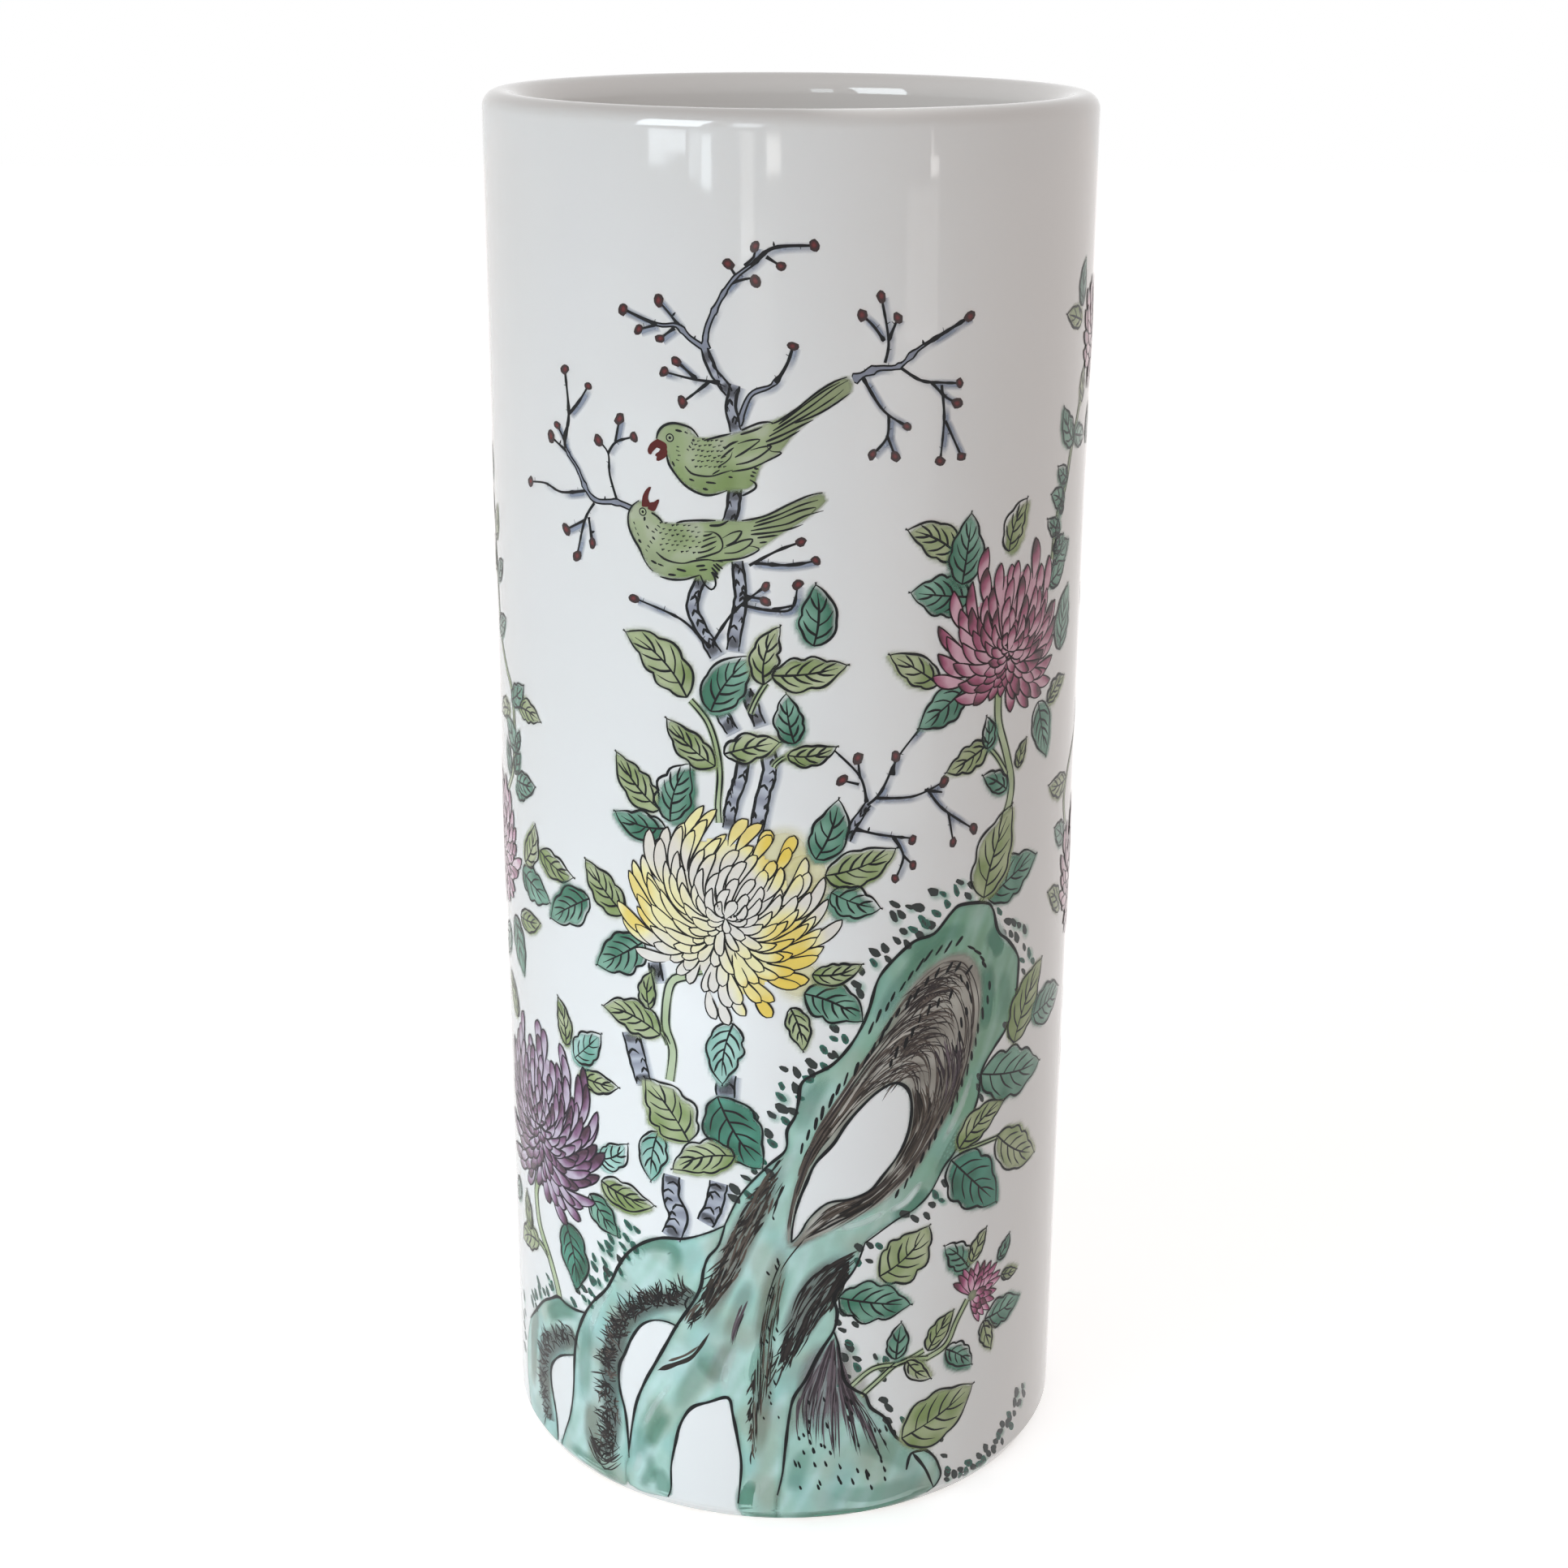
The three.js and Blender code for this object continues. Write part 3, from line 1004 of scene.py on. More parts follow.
stems = [
    ([(-18.5, 178.8), (-15.5, 175.5), (-13.7, 171), (-12.8, 165), (-13.2, 158.5), (-13, 155)], 0.9),
    ([(-4, 183), (-5.8, 180), (-7, 177)], 0.7),
    ([(0.6, 169), (-1.8, 167.8), (-2.6, 166.5)], 0.6),
    ([(44.3, 177.5), (44.6, 171), (47, 164.5), (49, 158), (48.6, 153.5), (46.8, 150)], 1.7),
    ([(41.5, 166.8), (44.5, 163.8), (47.6, 159.5)], 0.8),
    ([(46.5, 150), (45.5, 142), (42.5, 136), (41, 134.5)], 0.6),
    ([(-17.5, 127.5), (-18.5, 123.5), (-23, 120.8), (-24.3, 112), (-22.8, 106.5), (-23.5, 99.8)], 1.6),
    ([(-16.5, 124.2), (-18.5, 123.6)], 1.0),
    ([(-27, 110), (-25, 109.8), (-23.7, 107.5)], 0.8),
    ([(-62.8, 64.8), (-64.6, 61), (-63.4, 54), (-59, 48), (-56, 42.5), (-55.2, 40)], 1.7),
    ([(-64, 49.5), (-61.5, 49), (-59.5, 47.8)], 0.9),
    ([(41, 46), (38.2, 42), (35.5, 37.2), (30.5, 35.5)], 1.1),
    ([(30, 37.6), (24.5, 36), (18.5, 36), (13.5, 32.3)], 0.9),
    ([(31, 35.5), (24.5, 36.3), (19, 32.5), (16, 30)], 0.9),
    ([(37.5, 81), (43, 81), (49.5, 80.8)], 0.7),
    ([(53, 101), (57.5, 103), (61, 104.4)], 0.7),
    ([(61, 200), (62.5, 208), (66.4, 214), (68.6, 220), (74, 230), (77.9, 238.6)], 0.9),
    ([(-78.7, 179.3), (-74, 174), (-70.3, 170), (-69.6, 161), (-71.5, 153), (-76, 148)], 1.0),
    ([(76, 141), (74, 147), (77, 153), (86, 160), (94, 172), (97, 186), (95, 200), (90, 213), (87, 226),
      (86, 232)], 0.9),
    ([(89, 122), (93, 112), (96, 100), (94, 88)], 0.9),
    ([(-78.7, 179.3), (-80.5, 186), (-83, 198), (-86, 210)], 1.0),
]
for path, width in stems:
    stem(wash, lines, path, width)

smallLeaves = [
    (61.9, 217.1), (59.3, 212.1), (58.2, 207.5), (63.9, 210.4), (62.9, 206.4), (65.4, 203.2),
    (68.6, 201.4), (61.8, 202.9), (62.1, 198.2), (66.8, 197.5),
]
for order, spot in enumerate(smallLeaves):
    root = (62.8 + 0.35 * (spot[1] - 205), spot[1] - 2.2)
    leaf(wash, lines, root, moved(spot, (0.5, 1.0), 0.8), "G", order, 0.3)
layPiece(wash, "leaf_washes", washEnamel)
layPiece(lines, "leaf_lines", lineEnamel)
print("leaves painted")

boughs = [
    ([(-9.8, 238.3), (-10.5, 234.5), (-9.6, 230)], 1.7, 1.9),
    ([(-15.4, 244.5), (-13.8, 240.8), (-10.8, 236.8)], 1.2, 1.6),
    ([(-9.8, 219.5), (-10.2, 216), (-11, 213)], 2.2, 2.2),
    ([(-16.2, 202.5), (-18, 197), (-15.7, 191.7), (-13.4, 187.9)], 1.9, 2.4),
    ([(-9.5, 206), (-8.8, 199.3), (-9.8, 193), (-10.2, 189)], 2.0, 2.3),
    ([(-13.2, 178), (-10.4, 173.3)], 2.2, 2.3),
    ([(-8, 181.5), (-6.4, 178), (-5.2, 174.8)], 2.0, 2.2),
    ([(-8.2, 168.5), (-8.9, 164), (-10.5, 159.3), (-11.2, 154)], 2.2, 2.2),
    ([(-3.8, 170.5), (-3.3, 166), (-4.5, 161), (-6, 153)], 2.5, 2.5),
    ([(-26.8, 124.5), (-25.8, 120.6)], 2.6, 2.4),
    ([(-32.3, 108.5), (-30.8, 103), (-29.3, 98)], 4.2, 3.4),
    ([(-11.6, 102.8), (-12, 98)], 3.6, 3.6),
    ([(-23.3, 79), (-23.5, 74), (-22, 70), (-23.6, 65)], 3.4, 4.2),
    ([(-13.3, 79), (-14.3, 74), (-16.2, 69.5)], 3.6, 3.4),
    ([(11.3, 151.8), (13.2, 155.5), (15.5, 158.8)], 1.6, 1.3),
]
twigs = [
    [(-15.3, 244.4), (-14.6, 249), (-10.6, 256.3), (-6.5, 259.8), (-2.8, 262.6), (4.2, 263)],
    [(-10.6, 256.3), (-7.2, 257.2), (-6.1, 256.7)], [(-8.1, 259.4), (-6.4, 261), (-6.2, 262.7)],
    [(-9.6, 257.6), (-11, 259.6)], [(-4.2, 261), (-1.6, 259.4)],
    [(-15.3, 244.6), (-18.1, 246.3), (-20.6, 248.4), (-24.4, 248.4), (-31.2, 250.6)],
    [(-19.7, 247.8), (-22, 250.5), (-24.1, 252.6)], [(-24.4, 248.4), (-28.2, 247.2)],
    [(-21, 248), (-23.9, 245.9)], [(-12.5, 238.6), (-17.5, 239), (-23.1, 240)],
    [(-16.9, 239), (-19.7, 241.3), (-20.8, 242)], [(-14.6, 238.6), (-18.4, 235.6), (-19.6, 234.8)],
    [(-9.2, 231), (-7, 236.5), (-3.1, 238.4), (-0.6, 241.9), (0.6, 245.4)],
    [(-29.3, 214), (-33.4, 215), (-38.1, 214.7), (-40.6, 216.3), (-43.1, 220.3), (-45.3, 222.5), (-46.3, 225),
     (-45, 230), (-45.8, 238.3)],
    [(-45, 230), (-42, 233), (-39.8, 235.9)], [(-40.6, 216.3), (-47.5, 215), (-52.5, 215.9), (-57.8, 215.3)],
    [(-46.3, 225), (-48.3, 227.5)], [(-45.3, 222.8), (-50.3, 225.1)],
    [(-33.4, 215.3), (-35, 220), (-35.3, 224), (-37.5, 226.1)],
    [(-35.3, 224), (-33.4, 226.3), (-29.5, 227.6)], [(-33.6, 226.3), (-32.6, 230.6)],
    [(-38.8, 214.2), (-41.3, 210.6), (-43.6, 203.3)], [(-40.3, 211.3), (-39.5, 206.4)],
    [(-41.3, 210.6), (-46.4, 208)],
    [(11.4, 239.3), (15.7, 241.1), (20, 241.4), (24.3, 244.6), (34.3, 249.4)],
    [(17.3, 242.1), (17.9, 246.1), (16.4, 253.9)], [(17.9, 246.1), (19.6, 250)],
    [(17.1, 246), (15, 248.8), (12.9, 250.7)],
    [(20, 241.3), (24.3, 238.6), (28.6, 237.9), (32.5, 237.5)], [(26.4, 238.2), (29.3, 235.4), (32.1, 233.8)],
    [(28.6, 237.5), (29.3, 231.4), (28.7, 223.5)], [(29.6, 230.8), (33.3, 223.9)],
    [(13.2, 239.6), (17.1, 233.6), (21.8, 230.4)], [(18.2, 232.6), (17.9, 228.6), (15.2, 225.6)],
    [(17.9, 229), (19.6, 225)],
    [(-14.5, 189.3), (-20.3, 194.3), (-29.5, 197.2)], [(-14, 190.5), (-10, 196.5), (-4.2, 201.5)],
    [(-8.5, 197.8), (-4, 197), (0.5, 197.2), (1.7, 201.8)], [(-7.8, 199.5), (-4.5, 199)],
    [(-3, 197), (1.3, 198)],
    [(-7.2, 205.3), (-2, 208.2), (2.2, 209.8)], [(-6.2, 205.8), (0, 205.5), (5, 206.3)],
    [(15.3, 158.5), (18, 161), (21.3, 167.5), (25.8, 172.7)], [(15.2, 159), (13.8, 164.3), (8.8, 169.8)],
    [(13.6, 162.8), (10.3, 163.8)], [(13.8, 164), (13.3, 168)], [(20.3, 164), (20.8, 167.5)],
    [(16.8, 159.8), (24.7, 159.3), (31.3, 161.3)], [(27.5, 160.5), (31.2, 155.8), (38.8, 150.2)],
    [(32.5, 154.8), (33.8, 148.7)], [(27, 160.2), (31, 159.2)],
    [(13, 153.9), (18, 152.3), (24.7, 150.8)], [(20.5, 151.8), (22.8, 147.5), (21.3, 143)],
    [(22.8, 147.5), (24.9, 145.3)],
]
buds = [
    (4.2, 263), (-1.6, 259.4), (-6.2, 262.7), (-6.1, 256.7), (-11, 259.6), (-24.1, 252.6), (-31.4, 250.6),
    (-28.2, 247.2), (-23.9, 245.9), (-20.8, 242), (-23.1, 240), (-19.6, 234.8), (0.6, 245.4),
    (-45.8, 238.3), (-39.8, 235.9), (-48.3, 227.5), (-50.3, 225.1), (-32.6, 230.6), (-37.5, 226.1),
    (-29.5, 227.6), (-57.8, 215.3), (-46.4, 208), (-39.5, 206.4), (-43.6, 203.3),
    (34.3, 249.4), (16.4, 253.9), (19.6, 250), (12.9, 250.7), (32.5, 237.5), (32.1, 233.8), (28.7, 223.5),
    (33.3, 223.9), (21.8, 230.4), (15.2, 225.6), (19.6, 225),
    (-30, 197.2), (-4.2, 201.5), (1.7, 201.8), (-4.2, 198.6), (2.2, 209.8), (5, 206.3),
    (13.3, 168), (10.3, 163.8), (20.8, 167.7), (31.3, 161.3), (38.8, 150.3), (33.8, 148.5),
    (24.7, 150.5), (24.9, 145.2), (21.2, 143),
]
wash, lines, budSheet = newSheet(), newSheet(), newSheet()
for points, startWidth, endWidth in boughs:
    bough(wash, lines, points, startWidth, endWidth)
for points in twigs:
    twig(wash, lines, points)
for spot in buds:
    bud(budSheet, spot)
layPiece(wash, "prunus_washes", washEnamel)
layPiece(lines, "prunus_lines", lineEnamel)
layPiece(budSheet, "prunus_buds", petalEnamel)
print("prunus painted")

# The pierced garden rocks: soft washes inside the outlines, pools and pale streaks in them,
# then hatching, ticks and moss.
rockLook = {
    "pale": paint("B9D6D2"), "middle": paint("A0C6BA"), "deep": paint("6F9F83"), "pool": paint("4C8F76"),
    "streak": paint("E2F2EE"), "stain": paint("7F7D6C"), "line": 0.7, "tickLine": 0.6, "archLine": 0.27,
    "brown": [paint("26201C"), paint("37302A"), paint("544A42"), paint("191716")],
    "black": [paint("121112"), paint("1E1A19"), paint("2E2826")],
    "grey": [paint("3A3136"), paint("4F444A"), paint("675C62"), paint("2A2327")],
    "arch": [paint("2F2929"), paint("433B37"), paint("5C524B")],
    "ash": [paint("B9B4AB"), paint("A5A097")],
    # A stain: its colour, the grain of the noise that places it, and its strength.
    "stains": [(paint("97A28C"), 21, 0.45), (paint("86BDB8"), 33, 0.5), (paint("8C877A"), 47, 0.25)],
    # Heights above the wall, from the side rocks' washes up to the ticks.
    "sideLift": 0.018, "lift": 0.024, "poolLift": 0.026, "stainLift": 0.036, "coreLift": 0.04,
    "streakLift": 0.043, "hatchLift": 0.045, "hatchStep": 0.002, "footLift": 0.05, "archLift": 0.052,
    "ashLift": 0.06, "lineLift": 0.062, "seamLift": 0.064, "tickLift": 0.066,
}


# Colour gathers along the edge of a wash, and the brush leaves long faint marks in it.
def rockTint(s, z, depth):
    look = rockLook
    right = smoothStep(-10, 34, s) * smoothStep(50, 100, z)
    cloud = cloudy(s * 0.07, z * 0.07, 5)
    brushed = cloudy(s * 0.45 - z * 0.2, s * 0.05 + z * 0.08, 9)
    share = 0.45 + 0.9 * cloud + 0.8 * brushed + 0.35 * smoothStep(-40, -5, s)
    tint = mixed(look["pale"], look["middle"], share)
    tint = mixed(tint, look["deep"], right * (0.85 + 0.5 * cloud + 0.4 * brushed))
    for stain, grain, strength in look["stains"]:
        patch = cloudy(s * 0.13, z * 0.1, grain)
        tint = mixed(tint, stain, strength * smoothStep(0.0, 0.4, patch) * (1 - 0.6 * right))
    gathered = smoothStep(1.5, 0.1, depth) * (0.3 + 0.5 * cloudy(s * 0.2, z * 0.2, 14))
    return mixed(tint, look["pool"], gathered)


mainRock = [
    (0.3, 91.3), (1.9, 94.4), (2.5, 97.5), (3.4, 101.9), (8.8, 105), (11.9, 108.1), (14.4, 111.9),
    (16.3, 116.3), (18.1, 122.5), (21.3, 126.3), (25.6, 129.4), (30, 130.3), (33.8, 133.8), (36.3, 135),
    (42.5, 134), (44.8, 132), (46.6, 126.9), (50, 123.8), (53.1, 120), (53.8, 116.9), (52.8, 108.1),
    (50, 104.4), (46.3, 101.3), (43.1, 97.5), (42.3, 92), (40, 86.9), (36.3, 81.3), (33.8, 78.8),
    (30.6, 73.8), (26.9, 70.9), (22.5, 69.1), (16.3, 65.3), (14.4, 60), (11.9, 56.6), (10, 53.8),
    (10.7, 50), (10, 45.9), (6.9, 40.6), (4.4, 35), (1.9, 30.6), (0.9, 25),
    (0.3, 18.8), (-0.3, 12.5), (-1.3, 7.5), (-2, 0.4), (-8.2, 0.6), (-9.5, 5), (-8.8, 13.8), (-9.4, 19.4),
    (-10.6, 26.3), (-11.6, 30), (-15.6, 28.4), (-19.4, 26.3), (-21.9, 21.9), (-23.1, 16.9), (-24.1, 11.3),
    (-24.2, 6), (-25, 3.4), (-33, 2.4), (-35.5, 6), (-34.4, 12), (-33.4, 18.8), (-32.2, 24.4), (-30, 30),
    (-27.5, 35), (-25, 40), (-22.5, 45), (-18.8, 51.3), (-17.2, 55), (-16.6, 58.8), (-15.6, 61.9),
    (-13.4, 65), (-12, 70), (-8.8, 76.9), (-3.8, 83.1), (0, 87),
]
mainHole = [
    (1.3, 66.5), (1.5, 70), (2.5, 75), (4.3, 80), (6, 84), (9.5, 88), (12, 92), (15, 95.5), (18.5, 98.5),
    (22, 99.8), (24.8, 98), (25.8, 94), (25.3, 89), (23.5, 84.5), (20, 80), (17, 76.8), (13, 75.5),
    (8.5, 75), (5, 72), (3, 68.5),
]
leftRock = [
    (-12.2, 69.5), (-15.6, 67.5), (-20.6, 65.3), (-25.6, 64.4), (-30, 62.2), (-33.8, 58.8), (-36.3, 55),
    (-38.1, 51.3), (-40, 48.1), (-43.8, 43.8), (-46.3, 40), (-48.1, 36.3), (-49.4, 32.5), (-50.2, 27),
    (-50.6, 21.3), (-51.3, 16.3), (-52.5, 11.9), (-54.4, 7.5), (-55.9, 3.2), (-46, 2.4), (-36, 2.2),
    (-34.4, 10), (-34.7, 16.3), (-35.3, 21.3), (-36.6, 26.3), (-36.6, 31.3), (-35, 35), (-33.1, 39.4),
    (-30.6, 43.1), (-27.5, 45), (-24.4, 45.3), (-22.2, 44.7), (-18.8, 51.3), (-17.2, 55), (-16.6, 58.8),
    (-13.4, 65),
]
smallRock = [
    (-46.3, 40.3), (-49.4, 39.7), (-52.5, 39.6), (-55.6, 40), (-58.8, 38.1), (-62.5, 35.6), (-67, 31),
    (-71, 27), (-74, 20), (-75, 12), (-73.5, 5), (-70, 2.6), (-60, 2.3), (-57.3, 4), (-57.8, 10),
    (-59.7, 16.9), (-59.4, 21.3), (-55.6, 25.6), (-50.3, 28.4), (-49.4, 32.5), (-48.1, 36.3),
]
mound = [
    (10, 45.9), (10.9, 43.1), (11.6, 38.8), (12.5, 34), (15, 31.3), (16.9, 30), (18.1, 26.9), (21.3, 23.8),
    (23.1, 20), (25, 17.5), (30.6, 13.8), (33.1, 11.3), (34.4, 8.8), (35, 5.6), (32, 2.4), (20, 0.8),
    (5, 0.4), (-2, 0.4), (-1.3, 7.5), (-0.3, 12.5), (0.3, 18.8), (0.9, 25), (1.9, 30.6), (4.4, 35),
    (6.9, 40.6),
]
wash, lines, hatching = newSheet(), newSheet(), newSheet()
regionWash(wash, mainRock, [mainHole], rockLook["lift"], rockTint)
for outline in (leftRock, smallRock, mound):
    regionWash(wash, outline, [], rockLook["sideLift"], rockTint)

# Places where the colour has pooled while wet: path, width, strength.
pools = [
    ([(43.8, 128), (46.5, 124.5), (47, 121)], 3.4, 0.6), ([(43.2, 121), (44, 114), (43.5, 106)], 2.8, 0.6),
    ([(18, 112), (20.5, 117.5), (26, 124), (33, 127.8)], 2.0, 0.4),
    ([(23, 126), (30, 129), (38, 130)], 2.2, 0.35),
    ([(39, 88), (36, 82.5), (32, 77)], 3.0, 0.35), ([(21.5, 69.8), (26, 71.5), (30, 75)], 1.8, 0.55),
    ([(48, 118), (49.5, 112), (48, 106)], 2.4, 0.25), ([(8.5, 103), (4.5, 97), (2.8, 90)], 2.0, 0.3),
    ([(-33, 59), (-28, 62.4), (-23.3, 62.6), (-22.6, 60), (-23.6, 56.5)], 1.3, 0.5),
    ([(-45, 40), (-46.6, 30), (-47, 18)], 2.4, 0.3), ([(-26, 27), (-30, 19), (-32.5, 10)], 1.8, 0.3),
    ([(-28, 10), (-26, 6), (-26.5, 3)], 2.4, 0.4), ([(-6.5, 11), (-7.8, 6), (-7, 1.6)], 2.4, 0.6),
    ([(-1, 1.7), (10, 1.5), (20, 2.0), (33, 4)], 1.2, 0.85), ([(8, 9), (16, 6), (26, 6), (32, 8)], 3.0, 0.25),
    ([(-7.5, 1.5), (-4, 1.3), (0, 1.6)], 0.9, 0.6),
    ([(-53, 5), (-45, 4), (-37, 3.6)], 2.0, 0.4), ([(-48, 39), (-54, 38), (-61, 33)], 2.8, 0.55),
    ([(0.5, 62), (-3, 50), (-4, 40)], 2.0, 0.35), ([(-15, 40), (-20, 31), (-24, 25)], 2.6, 0.25),
    ([(-4.6, 44), (-5.5, 36), (-5, 31)], 3.0, 0.3), ([(-12, 34), (-16, 38), (-15, 43)], 3.0, 0.25),
    ([(-29.5, 14), (-27.5, 19), (-24.6, 24)], 1.1, 0.5), ([(-31.5, 4), (-29, 9), (-29.6, 13)], 1.0, 0.4),
    ([(14, 20), (22, 16), (28, 10)], 3.4, 0.25), ([(2, 8), (3, 14), (5, 19)], 2.2, 0.3),
]
# Brown and olive that ran into the green: path, width, strength.
stainedStreaks = [
    ([(0, 66), (-3, 55), (-5.5, 42)], 2.2, 0.5), ([(-11, 44), (-13.5, 37), (-15.5, 32)], 1.8, 0.4),
    ([(-3, 44), (-4.5, 30), (-5.5, 16)], 2.6, 0.5), ([(-7, 58), (-9.5, 50), (-12, 44)], 1.6, 0.35),
    ([(6, 38), (4, 30), (2.5, 22)], 2.6, 0.35), ([(-44, 20), (-45, 12), (-43, 5)], 3.2, 0.5),
    ([(-66, 33), (-69, 22), (-70, 10)], 2.6, 0.45), ([(12, 42), (15, 34), (18, 27)], 1.8, 0.4),
]
paleStreaks = [
    ([(21, 71.6), (25, 73), (28.5, 77)], 0.8, 0.7), ([(40.5, 98), (37.5, 91), (33, 84)], 0.9, 0.4),
    ([(-31, 18), (-28, 24.5), (-24, 31)], 0.7, 0.35), ([(-33, 7), (-32, 10), (-31.5, 13)], 0.8, 0.3),
    ([(45.5, 131), (48, 126), (51, 122)], 1.0, 0.35), ([(10, 69), (16, 70), (21, 72)], 0.9, 0.45),
    ([(-38, 50), (-42, 44), (-45, 36)], 1.2, 0.35), ([(-12.5, 30.5), (-12, 36), (-10, 42)], 1.2, 0.3),
]
for order, (path, width, strength) in enumerate(pools):
    lift = rockLook["poolLift"] + 0.002 * (order % 4)
    softStroke(wash, path, width, lift, rockLook["pool"], strength, 1.5)
for order, (path, width, strength) in enumerate(stainedStreaks):
    lift = rockLook["stainLift"] + 0.001 * (order % 3)
    softStroke(wash, path, width, lift, rockLook["stain"], 0.8 * strength, 1.4)
for path, width, strength in paleStreaks:
    softStroke(wash, path, width, rockLook["streakLift"], rockLook["streak"], strength, 0.6)

outlines = [
    mainRock[72:] + mainRock[:32], mainRock[31:44], mainRock[46:58], mainRock[60:73], mainHole + mainHole[:1],
    leftRock[:19], leftRock[21:32], smallRock[:8], smallRock[13:19], mound[:15],
    [(30.8, 13.5), (27.5, 13.6), (26.5, 10)], [(28, 13.5), (31, 9), (33.2, 3.8)],
]
for outline in outlines:
    stroke(lines, outline, rockLook["line"], rockLook["lineLift"], startShare=0.5, endShare=0.5)


def pointAt(path, t):
    position = t * (len(path) - 1)
    i = min(int(position), len(path) - 2)
    return between(path[i], path[i + 1], position - i)


def evenPath(points, count=60):
    path = smoothPath(points, 0.7)
    lengths = [0.0]
    for a, b in zip(path, path[1:]):
        lengths.append(lengths[-1] + math.dist(a, b))
    result, i = [], 0
    for k in range(count + 1):
        target = lengths[-1] * k / count
        while i < len(path) - 2 and lengths[i + 1] < target:
            i += 1
        span = lengths[i + 1] - lengths[i] or 1.0
        result.append(between(path[i], path[i + 1], (target - lengths[i]) / span))
    return result


# Strokes that run along the band between two lines. A crowd above 1 gathers them at the first.
def hatchAlong(sheet, first, second, count, reach, width, tints, crowd=1.0, lift=rockLook["hatchLift"]):
    a, b = evenPath(first), evenPath(second)
    for i in range(count):
        share = brush.random() ** crowd
        drift = brush.uniform(-0.14, 0.14)
        length = reach * brush.uniform(0.4, 1.0)
        start = brush.uniform(0, 1 - length)
        points = []
        for k in range(6):
            t = start + length * k / 5
            points.append(mixed(pointAt(a, t), pointAt(b, t), share + drift * k / 5))
        stroke(sheet, points, width * brush.uniform(0.6, 1.3), lift + rockLook["hatchStep"] * (i % 8),
               brush.choice(rockLook[tints]), 0.2, 0.1)


# Curly strokes that stand out like fur from a dark core, to the right of the core's path. They
# lean forward along the path by an angle, more or less wildly, and each bends by up to its curl.
def fur(sheet, core, count, depth, reach, lean, wild, width, tints, bend=0.9):
    path = evenPath(core)
    for i in range(count):
        k = brush.randrange(1, len(path) - 1)
        side = sideways(path, k)
        outward = (-side[0], -side[1])
        start = moved(path[k], outward, brush.uniform(-depth, depth))
        heading = math.atan2(outward[1], outward[0]) + lean + brush.uniform(-wild, wild)
        curl = brush.uniform(-bend, bend)
        length = reach * brush.uniform(0.4, 1.1)
        middle = moved(start, facing(heading), length * 0.5)
        end = moved(middle, facing(heading + curl), length * 0.5)
        lift = rockLook["hatchLift"] + rockLook["hatchStep"] * (i % 8)
        stroke(sheet, [start, middle, end], width * brush.uniform(0.6, 1.3), lift,
               brush.choice(rockLook[tints]), 0.5, 0.1)


# The grey and brown hollow round the hole of the great rock.
hollow = [
    (0.2, 67), (1, 74), (2.8, 82), (5, 88.5), (8, 94.5), (12, 100.5), (16, 106.5), (19.5, 112.5), (23, 118),
    (27.5, 122.3), (32.5, 124.8), (37.5, 124.5), (41, 121), (42.4, 115), (41.8, 108), (40, 101.5),
    (37.5, 95.5), (34.4, 90), (31, 85), (27.5, 80), (23, 76), (17.5, 72.5), (12, 70), (8, 68), (4.5, 66.3),
    (2, 65),
]
hollowLook = {
    "pale": paint("B9B5AC"), "deep": paint("867F75"), "green": paint("86A892"), "alpha": 0.86, "soft": 1.6,
    "lift": 0.034,
}


def hollowTint(s, z, depth):
    look = hollowLook
    near = cloudy(s * 0.16, z * 0.16, 12)
    dark = smoothStep(112, 96, z) * smoothStep(24, 33, s) * 0.5
    tint = mixed(look["pale"], look["deep"], 0.35 + near + dark)
    # The grey runs into green on the side away from the hole.
    leftward = 0.48 * (z - 80) - 0.88 * (s - 10)
    tint = mixed(tint, look["green"], 0.85 * smoothStep(4.2, 8.2, leftward))
    return (*tint[:3], look["alpha"])


regionWash(wash, hollow, [mainHole], hollowLook["lift"], hollowTint, soft=hollowLook["soft"])
holeSide = [
    (1, 68), (1.8, 75), (5, 84), (11, 92.5), (17, 98.5), (22, 100.5), (25.6, 98.5), (26.6, 93), (25.6, 87.5),
    (21.5, 80.5), (17, 76.5), (9, 74), (4, 69),
]
tickSide = [
    (0, 68), (1.6, 77), (5.5, 90), (11.5, 100), (18.5, 111), (27, 121.5), (36, 123.5), (41.5, 114), (40, 102),
    (34.5, 91), (28, 82), (19, 73.5), (6, 66.5),
]
# Hatching of the hollow: two sides, count, reach, width, tints, crowding.
hollowHatching = [
    (holeSide, tickSide, 170, 0.2, 0.27, "arch", 1.2),
    (holeSide[1:6], [(0.9, 78), (3.6, 86), (8.5, 94), (14.5, 101), (20.5, 103.5)],
     46, 0.5, 0.42, "brown", 1.8),
    (holeSide[6:10], [(30.5, 99), (32, 93), (30, 87), (24.5, 79)], 54, 0.5, 0.42, "brown", 1.5),
    (holeSide[9:], [(24.5, 79), (18, 73.5), (9, 69), (3, 66)], 44, 0.45, 0.42, "brown", 1.0),
    ([(29, 106), (32, 99), (32, 92)], [(37.5, 108), (38, 100), (35, 92)], 40, 0.6, 0.34, "grey", 1.0),
]
for row in hollowHatching:
    hatchAlong(hatching, *row)


